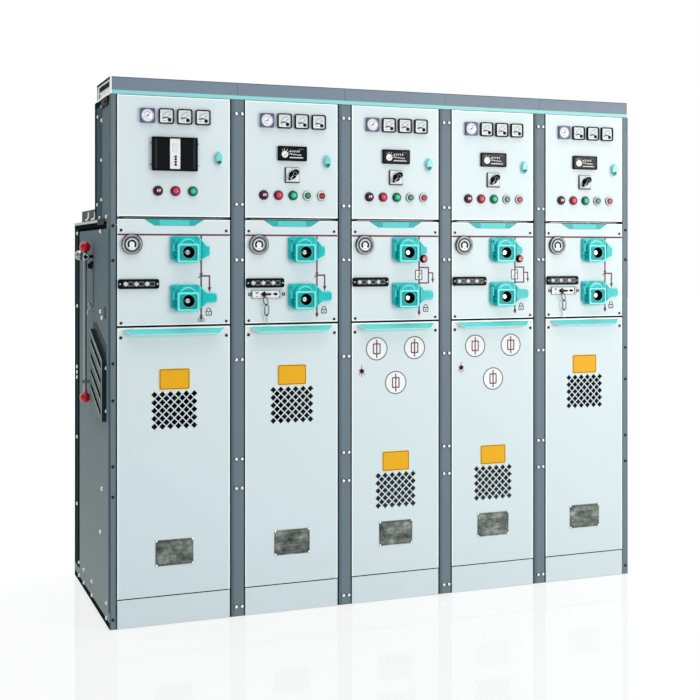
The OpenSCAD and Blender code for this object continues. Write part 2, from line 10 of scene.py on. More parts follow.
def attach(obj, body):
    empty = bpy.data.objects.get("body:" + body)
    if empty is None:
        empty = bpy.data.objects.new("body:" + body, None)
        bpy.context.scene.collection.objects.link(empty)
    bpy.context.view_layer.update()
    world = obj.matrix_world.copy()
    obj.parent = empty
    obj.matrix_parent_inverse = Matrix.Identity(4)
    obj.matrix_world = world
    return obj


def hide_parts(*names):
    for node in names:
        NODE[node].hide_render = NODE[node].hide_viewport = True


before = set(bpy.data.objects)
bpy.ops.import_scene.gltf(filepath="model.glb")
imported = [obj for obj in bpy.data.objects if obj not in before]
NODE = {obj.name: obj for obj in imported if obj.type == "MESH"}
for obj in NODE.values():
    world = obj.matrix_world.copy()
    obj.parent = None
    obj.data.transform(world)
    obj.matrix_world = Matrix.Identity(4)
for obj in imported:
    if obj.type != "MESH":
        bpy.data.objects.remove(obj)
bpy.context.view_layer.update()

# ------------------------------------------------------------------ measures
XL, XR, YF, YB = -1180.0, 1180.0, -450.0, 450.0
BODY_H = 1600.0
MECH_Z0, MECH_Z1 = 1180.0, 1597.0
CAB_Z0, CAB_Z1 = 116.0, 1172.0
INS_Z0, INS_Z1 = 1608.0, 2081.0
TOP_Z, HEAD_Z = 2083.0, 2150.0
BOX_Y = -110.0
KICK_H = 112.0
LOAD_Z, EARTH_Z = 1467.0, 1275.0
METER_Z, DISP_Z, SEL_Z, LAMP_Z, LOCK_Z = 2003.0, 1871.0, 1783.0, 1700.0, 1842.0
TRIP_Z = 1440.0
LEVER_X, LEVER_Y, LEVER_Z0, LEVER_Z1 = -1212.0, -48.0, 863.0, 1490.0


def bx(i):
    return XL if i == 0 else XL + 512.0 + (i - 1) * 462.0


def dl(i):
    return XL + 28.0 if i == 0 else bx(i) + 32.0


def dr(i):
    return bx(i + 1) - 32.0


def xc(i):
    return (dl(i) + dr(i)) / 2


def lamp_x(i, k):
    return xc(i) + 4.0 + ((k - 1) * 70.0 if i == 0 else (k - 2) * 62.5)


def meter_x(i, k):
    return xc(i) + 3.0 + (k - 1.5) * 74.0


# ------------------------------------------------------------------ camera
cam_data = bpy.data.cameras.new("camera")
cam_data.sensor_width = 36.0
cam_data.lens = 63.137
cam_data.shift_x = 0.0
cam_data.shift_y = -0.136025
cam_data.clip_end = 60.0
cam = bpy.data.objects.new("camera", cam_data)
cam.location = (-2.03005, -5.22324, 1.45719)
cam.rotation_euler = (math.radians(90.0), 0.0, -0.369317)
bpy.context.scene.collection.objects.link(cam)
bpy.context.scene.camera = cam

# ------------------------------------------------------------------ materials
M = {}


def lin(c):
    c /= 255.0
    return c / 12.92 if c <= 0.04045 else ((c + 0.055) / 1.055) ** 2.4


def rgb(r, g, b, k=1.0):
    return (min(1.0, lin(r) * k), min(1.0, lin(g) * k), min(1.0, lin(b) * k), 1.0)


class Shader:
    """One Principled material and the nodes that feed it."""

    def __init__(self, name):
        self.mat = bpy.data.materials.new(name)
        self.mat.use_nodes = True
        self.nt = self.mat.node_tree
        self.nt.nodes.clear()
        out = self.nt.nodes.new("ShaderNodeOutputMaterial")
        self.p = self.nt.nodes.new("ShaderNodeBsdfPrincipled")
        self.nt.links.new(self.p.outputs[0], out.inputs[0])
        self.co = self.nt.nodes.new("ShaderNodeTexCoord").outputs["Object"]
        M[name] = self.mat

    def link(self, a, b):
        self.nt.links.new(a, b)

    def set(self, **kw):
        for k, v in kw.items():
            self.p.inputs[k.replace("_", " ")].default_value = v

    def scaled(self, sx, sy, sz):
        n = self.nt.nodes.new("ShaderNodeMapping")
        n.inputs["Scale"].default_value = (sx, sy, sz)
        self.link(self.co, n.inputs["Vector"])
        return n.outputs[0]

    def noise(self, scale, detail=2.0, rough=0.5, vec=None):
        n = self.nt.nodes.new("ShaderNodeTexNoise")
        n.inputs["Scale"].default_value = scale
        n.inputs["Detail"].default_value = detail
        n.inputs["Roughness"].default_value = rough
        self.link(vec if vec is not None else self.co, n.inputs["Vector"])
        return n.outputs["Fac"]

    def ramp(self, fac, stops):
        n = self.nt.nodes.new("ShaderNodeValToRGB")
        while len(n.color_ramp.elements) < len(stops):
            n.color_ramp.elements.new(0.5)
        for e, (at, col) in zip(n.color_ramp.elements, stops):
            e.position = at
            e.color = col
        self.link(fac, n.inputs["Fac"])
        return n.outputs["Color"]

    def span(self, fac, a, b, lo, hi):
        n = self.nt.nodes.new("ShaderNodeMapRange")
        n.inputs["From Min"].default_value = a
        n.inputs["From Max"].default_value = b
        n.inputs["To Min"].default_value = lo
        n.inputs["To Max"].default_value = hi
        self.link(fac, n.inputs["Value"])
        return n.outputs["Result"]

    def mix(self, fac, a, b, kind="MIX"):
        n = self.nt.nodes.new("ShaderNodeMix")
        n.data_type = "RGBA"
        n.blend_type = kind
        if isinstance(fac, float):
            n.inputs["Factor"].default_value = fac
        else:
            self.link(fac, n.inputs["Factor"])
        for s, v in ((n.inputs[6], a), (n.inputs[7], b)):
            if isinstance(v, tuple):
                s.default_value = v
            else:
                self.link(v, s)
        return n.outputs[2]

    def axis(self, k):
        n = self.nt.nodes.new("ShaderNodeSeparateXYZ")
        self.link(self.co, n.inputs[0])
        return n.outputs[k]

    def bump(self, height, strength, dist):
        n = self.nt.nodes.new("ShaderNodeBump")
        n.inputs["Strength"].default_value = strength
        n.inputs["Distance"].default_value = dist
        self.link(height, n.inputs["Height"])
        self.link(n.outputs[0], self.p.inputs["Normal"])


def shade(c, k):
    return (min(1.0, c[0] * k), min(1.0, c[1] * k), min(1.0, c[2] * k), 1.0)


def paint(name, c, rough=0.4, drift=0.04, peel=0.12, dust=0.0, coat=0.0, spec=0.35, low=None):
    """Powder coat: broad tone drift, fine speckle, orange peel, some dust near the floor; low, if given, is painted
    light towards the floor.
    """
    s = Shader(name)
    col = s.ramp(s.noise(1.9, 4.0, 0.55), [(0.3, shade(c, 1 - drift)), (0.7, shade(c, 1 + drift))])
    fine = s.ramp(s.noise(520.0, 2.0, 0.6), [(0.35, (0.965, 0.965, 0.965, 1)), (0.65, (1, 1, 1, 1))])
    col = s.mix(1.0, col, fine, "MULTIPLY")
    if low:
        # painted light: towards the floor the colour shifts to low, painted shade where low is darker and painted
        # floor-bounce light where it is lighter
        col = s.mix(s.span(s.axis(2), 0.1, 1.45, 1.0, 0.0), col, low)
    if dust:
        foot = s.span(s.axis(2), 0.0, 0.32, dust, 0.0)
        low = s.noise(7.0, 4.0, 0.6)
        n = s.nt.nodes.new("ShaderNodeMath")
        n.operation = "MULTIPLY"
        s.link(foot, n.inputs[0])
        s.link(low, n.inputs[1])
        col = s.mix(n.outputs[0], col, rgb(150, 146, 136))
    s.link(col, s.p.inputs["Base Color"])
    s.link(s.span(s.noise(26.0, 3.0, 0.6), 0.3, 0.7, rough - 0.06, rough + 0.06), s.p.inputs["Roughness"])
    s.bump(s.noise(430.0, 1.0, 0.4), peel, 0.0003)
    s.set(Specular_IOR_Level=spec)
    if coat:
        s.set(Coat_Weight=coat, Coat_Roughness=0.12)
    return s


def plastic(name, c, rough=0.3, drift=0.06, grain=0.06, grain_scale=900.0, coat=0.0, coat_rough=0.08, spec=0.3):
    """Moulded plastic: slight flow marks in tone and gloss, fine moulded grain."""
    s = Shader(name)
    col = s.ramp(s.noise(24.0, 3.0, 0.5), [(0.3, shade(c, 1 - drift)), (0.7, shade(c, 1 + drift))])
    s.link(col, s.p.inputs["Base Color"])
    s.link(s.span(s.noise(60.0, 2.0), 0.3, 0.7, max(0.02, rough - 0.05), rough + 0.05), s.p.inputs["Roughness"])
    s.bump(s.noise(grain_scale, 2.0), grain, 0.0002)
    s.set(Specular_IOR_Level=spec)
    if coat:
        s.set(Coat_Weight=coat, Coat_Roughness=coat_rough)
    return s


def metal(name, c, rough=0.25, stretch=(1.0, 1.0, 1.0), scale=300.0, drift=0.1, grain=0.1):
    """Bare or plated metal with a drawn or turned grain."""
    s = Shader(name)
    g = s.noise(scale, 3.0, 0.6, s.scaled(*stretch))
    s.link(s.ramp(g, [(0.25, shade(c, 1 - drift)), (0.75, shade(c, 1 + drift))]), s.p.inputs["Base Color"])
    s.link(s.span(g, 0.25, 0.75, max(0.03, rough - 0.07), rough + 0.09), s.p.inputs["Roughness"])
    s.bump(g, grain, 0.0002)
    s.set(Metallic=1.0)
    return s


def galvanised(name, c, rough=0.4):
    """Hot-dip zinc with its spangle."""
    s = Shader(name)
    v = s.nt.nodes.new("ShaderNodeTexVoronoi")
    v.inputs["Scale"].default_value = 85.0
    s.link(s.co, v.inputs["Vector"])
    bw = s.nt.nodes.new("ShaderNodeRGBToBW")
    s.link(v.outputs["Color"], bw.inputs[0])
    s.link(s.ramp(bw.outputs[0], [(0.1, shade(c, 0.86)), (0.9, shade(c, 1.08))]), s.p.inputs["Base Color"])
    s.link(s.span(bw.outputs[0], 0.0, 1.0, rough - 0.1, rough + 0.12), s.p.inputs["Roughness"])
    s.bump(s.noise(160.0, 3.0), 0.08, 0.0003)
    s.set(Metallic=0.85)
    return s


def ink(name, c, rough=0.55):
    """Screen print or film: a little uneven in cover."""
    s = Shader(name)
    s.link(s.ramp(s.noise(210.0, 3.0, 0.6), [(0.3, shade(c, 0.93)), (0.7, shade(c, 1.05))]), s.p.inputs["Base Color"])
    s.link(s.span(s.noise(90.0, 2.0), 0.3, 0.7, rough - 0.06, rough + 0.06), s.p.inputs["Roughness"])
    s.bump(s.noise(700.0, 1.0), 0.04, 0.0001)
    s.set(Specular_IOR_Level=0.2)
    return s


def lens(name, c, glow=0.0):
    """Coloured lamp lens: clear coat over a deep tone that lightens in flecks."""
    s = Shader(name)
    s.link(s.ramp(s.noise(190.0, 2.0), [(0.3, shade(c, 0.8)), (0.7, shade(c, 1.25))]), s.p.inputs["Base Color"])
    s.link(s.span(s.noise(120.0, 2.0), 0.3, 0.7, 0.12, 0.22), s.p.inputs["Roughness"])
    s.set(Coat_Weight=0.25, Coat_Roughness=0.06, Specular_IOR_Level=0.25, Emission_Color=c, Emission_Strength=glow)
    return s


# low: painted shade, the panels darker towards the floor
paint("panel", rgb(210, 224, 228), rough=0.38, drift=0.018, peel=0.07, dust=0.12, coat=0.06, spec=0.25, low=rgb(202, 218, 223))
# painted highlight for folded edges, laid on as light bands
paint("panel_edge_painted_highlight", rgb(244, 250, 250), rough=0.3, drift=0.01, peel=0.04, coat=0.2)
paint("strip", rgb(98, 116, 126), rough=0.46, drift=0.03, dust=0.1)
# near black: dark edges, and painted shade in gaps and hollows
paint("black_edge_and_gap_shade", rgb(14, 20, 23), rough=0.7, drift=0.1, spec=0.0)
# painted shade on the strip beside its edge
paint("strip_painted_shade", rgb(86, 103, 112), rough=0.5, drift=0.03, spec=0.2)
paint("header", rgb(112, 128, 144), rough=0.42, drift=0.03)
paint("stripe", rgb(138, 207, 208), rough=0.36, drift=0.03)
paint("lip", rgb(98, 206, 201), rough=0.34, drift=0.04, coat=0.1)
# painted highlight on the cut edges of the lip
paint("lip_edge_painted_highlight", rgb(176, 244, 242), rough=0.3, drift=0.02, coat=0.2)
# low: painted floor-bounce light, the side lighter towards the floor
paint("side", rgb(88, 107, 113), rough=0.62, drift=0.04, peel=0.12, dust=0.1, spec=0.05, low=rgb(128, 140, 140))
# darker side paint, also painted shade on left-facing edges and in gaps
paint("side_dark_and_shade", rgb(70, 88, 95), rough=0.65, drift=0.06, peel=0.15, spec=0.0)
# near-black edge paint, also painted shade under the header end
paint("dark_edge_and_shade", rgb(24, 33, 35), rough=0.7, drift=0.12, spec=0.0)
# painted highlight along the hood and the roof edge
paint("edge_painted_highlight", rgb(166, 178, 178), rough=0.4, drift=0.04, spec=0.4)
paint("post", rgb(46, 60, 66), rough=0.6, drift=0.06, dust=0.15, spec=0.02)
paint("rear", rgb(104, 116, 121), rough=0.48, drift=0.05, dust=0.3)
paint("roof", rgb(96, 108, 114), rough=0.5, drift=0.06)
paint("hood", rgb(92, 107, 107), rough=0.55, drift=0.06, peel=0.15, spec=0.1)
# painted shade on the front and top faces of the hood
paint("hood_painted_shade", rgb(38, 54, 52), rough=0.65, drift=0.08, spec=0.0)
paint("title", rgb(18, 166, 168), rough=0.38, drift=0.04)
paint("title_pale", rgb(70, 198, 198), rough=0.38, drift=0.04)
plastic("cyan", rgb(6, 184, 184), rough=0.28, drift=0.07, grain=0.05, coat=0.12, coat_rough=0.1, spec=0.22)
# painted highlight on the edges and ribs of the covers
plastic("cyan_edge_painted_highlight", rgb(104, 228, 226), rough=0.24, drift=0.05, coat=0.3)
plastic("cyan_flange", rgb(6, 184, 186), rough=0.3, drift=0.08, grain=0.05, coat=0.1, spec=0.2)
# darker cyan; painted shade in the recess of the covers
plastic("cyan_dark_and_shade", rgb(34, 152, 152), rough=0.34, drift=0.08, coat=0.05, spec=0.2)
plastic("lock_cyan", rgb(122, 206, 204), rough=0.22, drift=0.05, coat=0.4)
plastic("lock_pale", rgb(190, 232, 232), rough=0.3, drift=0.03)
# painted shade on the lower end of the lock handle
plastic("lock_deep", rgb(44, 122, 126), rough=0.25, drift=0.05, coat=0.3)
plastic("black", rgb(11, 16, 17), rough=0.5, drift=0.15, grain=0.1, spec=0.04)
plastic("black_gloss", rgb(7, 12, 13), rough=0.24, drift=0.14, coat=0.08, coat_rough=0.05, spec=0.1)
plastic("smoke", rgb(30, 38, 41), rough=0.24, drift=0.12, coat=0.12, spec=0.15)
plastic("meter_blue", rgb(84, 88, 118), rough=0.34, drift=0.08, coat=0.1)
plastic("white_plastic", rgb(226, 231, 232), rough=0.36, drift=0.02)
plastic("white_lamp", rgb(226, 231, 231), rough=0.16, drift=0.03, coat=0.5)
plastic("dull_lamp", rgb(196, 206, 207), rough=0.2, drift=0.1, coat=0.4)
plastic("grey_plastic", rgb(142, 149, 153), rough=0.42, drift=0.06)
plastic("dark_frame", rgb(62, 70, 73), rough=0.45, drift=0.08, spec=0.1)
plastic("red_ball", rgb(194, 8, 26), rough=0.3, drift=0.1, coat=0.7, coat_rough=0.04, spec=0.1)
plastic("button_red", rgb(166, 20, 58), rough=0.24, drift=0.06, coat=0.2)
plastic("button_red_rim", rgb(96, 14, 28), rough=0.24, drift=0.06, coat=0.2)
plastic("button_green", rgb(14, 138, 98), rough=0.24, drift=0.06, coat=0.2)
plastic("button_green_rim", rgb(8, 70, 52), rough=0.24, drift=0.06, coat=0.2)
plastic("trip_red", rgb(206, 106, 118), rough=0.26, drift=0.06, coat=0.3)
plastic("resin_brown", rgb(124, 62, 48), rough=0.36, drift=0.1, grain=0.12)
plastic("resin_pale", rgb(196, 188, 168), rough=0.4, drift=0.08, grain=0.12)
plastic("rubber", rgb(16, 18, 19), rough=0.7, drift=0.15, grain=0.3, grain_scale=500.0, spec=0.15)
ink("ink", rgb(22, 24, 27))
plastic("knob_black", rgb(8, 10, 11), rough=0.5, drift=0.12, grain=0.05, spec=0.03)
ink("ink_grey", rgb(104, 112, 118))
ink("mimic", rgb(112, 56, 70))
ink("mimic_grey", rgb(92, 96, 104))
ink("mimic_dark", rgb(40, 92, 98))
ink("dial", rgb(240, 246, 247), rough=0.4)
ink("dial_violet", rgb(176, 178, 206), rough=0.4)
ink("dial_grey", rgb(212, 223, 226), rough=0.4)
ink("white_film", rgb(232, 237, 238), rough=0.45)
ink("yellow", rgb(228, 168, 14), rough=0.42)
ink("yellow_edge", rgb(150, 108, 20), rough=0.45)
ink("yellow_pale", rgb(238, 206, 90), rough=0.42)
# each lamp colour comes as a darker rim, painted shade, and a lighter middle, painted highlight; the red and green
# middles also glow faintly
lens("lens_maroon", rgb(58, 8, 30))
lens("lens_maroon_rim", rgb(50, 12, 30))
lens("lens_maroon_mid", rgb(104, 28, 58))
lens("lens_red", rgb(148, 22, 54))
lens("lens_red_rim", rgb(78, 12, 26))
lens("lens_red_mid", rgb(206, 58, 88), glow=0.1)
lens("lens_green", rgb(4, 116, 84))
lens("lens_green_rim", rgb(4, 70, 54))
lens("lens_green_mid", rgb(30, 190, 140), glow=0.1)
# painted glint, glowing faintly
lens("lens_painted_glint", rgb(240, 214, 226), glow=0.2)
metal("zinc", rgb(224, 228, 230), rough=0.22, scale=260.0, drift=0.06)
metal("chrome", rgb(206, 211, 213), rough=0.12, scale=300.0, drift=0.04, grain=0.03)
metal("bezel", rgb(158, 166, 167), rough=0.34, scale=240.0, drift=0.1, grain=0.05)
metal("steel", rgb(186, 190, 192), rough=0.26, stretch=(1.0, 0.05, 1.0), scale=420.0)
metal("rod", rgb(150, 158, 160), rough=0.3, stretch=(1.0, 1.0, 0.03), scale=420.0)
metal("dark_steel", rgb(52, 58, 62), rough=0.4, scale=220.0)
metal("copper", rgb(196, 122, 78), rough=0.3, stretch=(0.04, 1.0, 1.0), scale=260.0)
galvanised("zinc_sheet", rgb(182, 190, 192))
galvanised("zinc_pale", rgb(208, 217, 214))
paint("lift_plate", rgb(64, 74, 76), rough=0.6, drift=0.12, spec=0.1)
# pale paint on the hooks, partly their colour and partly painted reflection
paint("hook_pale_and_sheen", rgb(214, 222, 222), rough=0.35, drift=0.04)
paint("bulkhead", rgb(206, 220, 214), rough=0.4, drift=0.05)

# bare etched nameplate: dull aluminium that is not quite flat; the blotches of its colour are painted reflections
s = Shader("nameplate")
blotch = s.noise(30.0, 5.0, 0.6, s.scaled(0.8, 1.0, 1.25))
s.link(s.ramp(blotch, [(0.3, rgb(48, 56, 53)), (0.52, rgb(104, 112, 106)), (0.74, rgb(160, 167, 158))]), s.p.inputs["Base Color"])
s.link(s.span(blotch, 0.3, 0.7, 0.28, 0.5), s.p.inputs["Roughness"])
s.bump(s.noise(60.0, 4.0, 0.6), 0.35, 0.0012)
s.set(Metallic=0.75)


# ------------------------------------------------------------------ mesh building
def rrect(w, h, r, seg=7, x=0.0, y=0.0):
    """Rounded rectangle, counter-clockwise."""
    out = []
    for cx, cy, a0 in ((w / 2 - r, r - h / 2, -90), (w / 2 - r, h / 2 - r, 0), (r - w / 2, h / 2 - r, 90), (r - w / 2, r - h / 2, 180)):
        for i in range(seg + 1):
            a = math.radians(a0 + 90.0 * i / seg)
            out.append((x + cx + r * math.cos(a), y + cy + r * math.sin(a)))
    return out


def circ(r, n=32, x=0.0, y=0.0, a0=0.0):
    return [(x + r * math.cos(math.radians(a0) + 2 * math.pi * i / n), y + r * math.sin(math.radians(a0) + 2 * math.pi * i / n)) for i in range(n)]


def circ_for(outline, r, x=0.0, y=0.0):
    """Circle round (x, y) with one point towards each point of an outline."""
    out = []
    for px, py in outline:
        k = math.hypot(px - x, py - y)
        out.append((x + r * (px - x) / k, y + r * (py - y) / k))
    return out


def dense(pts, step):
    """The same outline with points along its long straights."""
    out, n = [], len(pts)
    for i in range(n):
        (ax, ay), (cx, cy) = pts[i], pts[(i + 1) % n]
        k = max(1, int(math.ceil(math.hypot(cx - ax, cy - ay) / step)))
        out.extend((ax + (cx - ax) * j / k, ay + (cy - ay) * j / k) for j in range(k))
    return out


def inset(pts, d):
    out, n = [], len(pts)
    for i in range(n):
        (ax, ay), (px, py), (cx, cy) = pts[i - 1], pts[i], pts[(i + 1) % n]
        l1, l2 = math.hypot(px - ax, py - ay), math.hypot(cx - px, cy - py)
        if l1 < 1e-9 or l2 < 1e-9:
            out.append((px, py))
            continue
        n1 = (-(py - ay) / l1, (px - ax) / l1)
        n2 = (-(cy - py) / l2, (cx - px) / l2)
        k = max(0.25, 1 + n1[0] * n2[0] + n1[1] * n2[1])
        out.append((px + d * (n1[0] + n2[0]) / k, py + d * (n1[1] + n2[1]) / k))
    return out


def band_outline(r0, r1, a0, a1, n=24):
    """Part of a flat ring between two angles in degrees."""
    out = [(r1 * math.cos(math.radians(a0 + (a1 - a0) * i / n)), r1 * math.sin(math.radians(a0 + (a1 - a0) * i / n))) for i in range(n + 1)]
    out += [(r0 * math.cos(math.radians(a1 - (a1 - a0) * i / n)), r0 * math.sin(math.radians(a1 - (a1 - a0) * i / n))) for i in range(n + 1)]
    return out


def line_outline(path, width):
    """Outline of a line of even width along a path."""
    left, right, n = [], [], len(path)
    for i, (px, py) in enumerate(path):
        d = []
        if i:
            d.append((px - path[i - 1][0], py - path[i - 1][1]))
        if i < n - 1:
            d.append((path[i + 1][0] - px, path[i + 1][1] - py))
        ns = []
        for ex, ey in d:
            k = math.hypot(ex, ey)
            ns.append((-ey / k, ex / k))
        sx, sy = sum(v[0] for v in ns), sum(v[1] for v in ns)
        k = 1.0 if len(ns) == 1 else max(0.3, 1 + ns[0][0] * ns[1][0] + ns[0][1] * ns[1][1])
        left.append((px + width / 2 * sx / k, py + width / 2 * sy / k))
        right.append((px - width / 2 * sx / k, py - width / 2 * sy / k))
    return right + left[::-1]


def move(pts, x, y, turn=0.0):
    c, s_ = math.cos(math.radians(turn)), math.sin(math.radians(turn))
    return [(x + c * px - s_ * py, y + s_ * px + c * py) for px, py in pts]


class Build:
    """Collects faces. A local frame has u to the right, v up and w out of the face that the shape stands on."""

    def __init__(self):
        self.v, self.f, self.m, self.names = [], [], [], []
        self.T = Matrix.Identity(4)

    def place(self, o, u, v):
        u, v = Vector(u), Vector(v)
        w = u.cross(v)
        self.T = Matrix(((u.x, v.x, w.x, o[0]), (u.y, v.y, w.y, o[1]), (u.z, v.z, w.z, o[2]), (0, 0, 0, 1)))
        return self

    def front(self, x, z, d=0.0, turn=0.0):
        a = math.radians(turn)
        return self.place((x, YF + d, z), (math.cos(a), 0, math.sin(a)), (-math.sin(a), 0, math.cos(a)))

    def left(self, y, z, x=XL, turn=0.0):
        a = math.radians(turn)
        return self.place((x, y, z), (0, -math.cos(a), math.sin(a)), (0, math.sin(a), math.cos(a)))

    def right(self, y, z, x=XR):
        return self.place((x, y, z), (0, 1, 0), (0, 0, 1))

    def back(self, x, z, y=YB):
        return self.place((x, y, z), (-1, 0, 0), (0, 0, 1))

    def up(self, x, y, z):
        return self.place((x, y, z), (1, 0, 0), (0, 1, 0))

    def add(self, pts, faces, mat):
        if mat not in self.names:
            self.names.append(mat)
        k, n = self.names.index(mat), len(self.v)
        self.v.extend(self.T @ Vector(p) for p in pts)
        for f in faces:
            self.f.append([n + i for i in f])
            self.m.append(k)

    def loft(self, rings, mat, start=True, end=True, cap=None, loop=False):
        n, pts, faces = len(rings[0]), [], []
        for r in rings:
            pts.extend(r)
        for j in range(len(rings) if loop else len(rings) - 1):
            a, b = j * n, ((j + 1) % len(rings)) * n
            for i in range(n):
                k = (i + 1) % n
                faces.append((a + i, a + k, b + k, b + i))
        if start and not loop:
            faces.append(tuple(range(n - 1, -1, -1)))
        if end and not loop and cap is None:
            faces.append(tuple((len(rings) - 1) * n + i for i in range(n)))
        self.add(pts, faces, mat)
        if end and not loop and cap is not None:
            self.add(rings[-1], [tuple(range(n))], cap)

    def prism(self, o, w0, w1, mat, b=0.0, n=3, cap=None):
        """Outline raised from w0 to w1 with a rounded front edge."""
        rings = [[(x, y, w0) for x, y in o]]
        if b > 0:
            for i in range(n + 1):
                a = math.pi / 2 * i / n
                rings.append([(x, y, w1 - b + b * math.sin(a)) for x, y in inset(o, b * (1 - math.cos(a)))])
        else:
            rings.append([(x, y, w1) for x, y in o])
        self.loft(rings, mat, cap=cap)

    def frame(self, outer, inner, w0, w1, mat, b=0.0, n=3, bi=None):
        """Ring between two outlines of as many points each, its front edges rounded."""
        bi = b if bi is None else bi
        rings = [[(x, y, w0) for x, y in outer]]
        for i in range(n + 1) if b > 0 else (n,):
            a = math.pi / 2 * i / n
            rings.append([(x, y, w1 - b + b * math.sin(a)) for x, y in inset(outer, b * (1 - math.cos(a)))])
        for i in range(n, -1, -1) if bi > 0 else (n,):
            a = math.pi / 2 * i / n
            rings.append([(x, y, w1 - bi + bi * math.sin(a)) for x, y in inset(inner, -bi * (1 - math.cos(a)))])
        rings.append([(x, y, w0) for x, y in inner])
        self.loft(rings, mat, loop=True)

    def turn(self, profile, mat, n=32, x=0.0, y=0.0, mats=None):
        """Turned shape about w at (x, y): profile of (radius, w) from the back outwards to the front centre."""
        for j in range(len(profile) - 1):
            (r0, w0), (r1, w1) = profile[j], profile[j + 1]
            m = mats[j] if mats else mat
            a = [(px, py, w0) for px, py in circ(max(r0, 0.0), n, x, y)]
            c = [(px, py, w1) for px, py in circ(max(r1, 0.0), n, x, y)]
            if r0 <= 0:
                self.add([a[0]] + c, [(0, 1 + (i + 1) % n, 1 + i) for i in range(n)], m)
            elif r1 <= 0:
                self.add(a + [c[0]], [(i, (i + 1) % n, n) for i in range(n)], m)
            else:
                self.add(a + c, [(i, (i + 1) % n, n + (i + 1) % n, n + i) for i in range(n)], m)
        r0, w0 = profile[0]
        if r0 > 0:
            self.add([(px, py, w0) for px, py in circ(r0, n, x, y)], [tuple(range(n - 1, -1, -1))], mats[0] if mats else mat)

    def tube(self, path, r, mat, n=12, closed=False):
        """Round bar along a path in the local frame."""
        P = [Vector(p) for p in path]
        k = len(P)
        tang = []
        for i in range(k):
            a, c = (P[i - 1], P[(i + 1) % k]) if closed else (P[max(i - 1, 0)], P[min(i + 1, k - 1)])
            tang.append((c - a).normalized())
        ref = Vector((0, 0, 1)) if abs(tang[0].z) < 0.9 else Vector((1, 0, 0))
        nrm = (ref - tang[0] * ref.dot(tang[0])).normalized()
        rings = []
        for i in range(k):
            nrm = (nrm - tang[i] * nrm.dot(tang[i])).normalized()
            bn = tang[i].cross(nrm)
            rings.append([tuple(P[i] + (nrm * math.cos(2 * math.pi * j / n) + bn * math.sin(2 * math.pi * j / n)) * r) for j in range(n)])
        self.loft(rings, mat, loop=closed)

    def box(self, x0, x1, y0, y1, w0, w1, mat, b=0.6):
        self.prism([(x0, y0), (x1, y0), (x1, y1), (x0, y1)], w0, w1, mat, b=b, n=2)


def make(b, name, body, replaces=(), sharp=38.0):
    """One piece from the collected faces, riding on a body."""
    me = bpy.data.meshes.new(name)
    me.from_pydata([(p.x / 1000.0, p.y / 1000.0, p.z / 1000.0) for p in b.v], [], b.f)
    for n in b.names:
        me.materials.append(M[n])
    me.polygons.foreach_set("material_index", b.m)
    me.polygons.foreach_set("use_smooth", [True] * len(b.f))
    me.update()
    o = bpy.data.objects.new(name, me)
    bpy.context.scene.collection.objects.link(o)
    w = o.modifiers.new("weld", "WELD")
    w.merge_threshold = 2e-6
    me.set_sharp_from_angle(angle=math.radians(sharp))
    wn = o.modifiers.new("normals", "WEIGHTED_NORMAL")
    wn.keep_sharp = True
    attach(o, body)
    if replaces:
        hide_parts(*replaces)
    return o


# ------------------------------------------------------------------ construction sheets
def dress(node, mats, pick=None, bevel=0.8, seg=2):
    """Material and folded edges for a node of the construction."""
    o = NODE[node]
    me = o.data
    me.materials.clear()
    for m in mats:
        me.materials.append(M[m])
    idx = [0] * len(me.polygons)
    if pick:
        for k, p in enumerate(me.polygons):
            idx[k] = pick(p.center * 1000.0, p.normal)
    me.polygons.foreach_set("material_index", idx)
    if bevel:
        w = o.modifiers.new("weld", "WELD")
        w.merge_threshold = 1e-5
        bv = o.modifiers.new("edges", "BEVEL")
        bv.width = bevel / 1000.0
        bv.segments = seg
        bv.limit_method = "ANGLE"
        bv.angle_limit = math.radians(40)
        bv.harden_normals = True
        bv.use_clamp_overlap = True
    return o


def post_pick(c, n):
    if c.y > YB - 49.0 or (abs(n.x) > 0.9 and (c.x < XL + 1 or c.x > XR - 1) and c.z < 62):
        return 1
    # front faces near black: painted shade where they show in the gaps
    if n.y < -0.5 and c.y < YF + 4.0:
        return 2
    return 0


def side_pick(c, n):
    if c.x > XL - 0.1:
        return 0
    # front and top faces of the hood get painted shade
    if 795 < c.z < 1160 and c.y < -70:
        return 3 if n.y < -0.5 or (n.z > 0.5 and c.z > 1000 and c.x < XL - 3) else 1
    return 2 if c.z > 1000 else 0


def roof_pick(c, n):
    if c.x < XL - 0.05 or c.x > XR + 0.05:
        return 3
    if c.z > BODY_H + 0.1:
        return 2 if c.x < XL + 54 else 1
    return 1 if c.z > BODY_H - 3 else 0


dress("base_and_posts", ["post", "dark_edge_and_shade", "black_edge_and_gap_shade"], post_pick, bevel=1.0)
dress("end_panels", ["side", "hood", "black", "hood_painted_shade", "side_dark_and_shade"], side_pick, bevel=0.9)
dress("partition_walls", ["zinc_sheet"], bevel=0)
dress("rear_and_roof_covers", ["rear", "roof", "lift_plate", "dark_edge_and_shade"], roof_pick, bevel=0.8)
dress("instrument_boxes", ["zinc_sheet", "post"], lambda c, n: 1 if c.y < YF + 29.1 else 0, bevel=0.6)
dress("header_duct", ["header", "stripe", "zinc_pale", "black_edge_and_gap_shade"], lambda c, n: (1 if c.z < TOP_Z + 16 else 0) if c.y < YF + 2.1 else (3 if c.z > HEAD_Z - 2.5 and abs(n.x) > 0.5 and c.y < YF + 290 else 2), bevel=0.8)
dress("cover_strips", ["strip"], bevel=0.8)
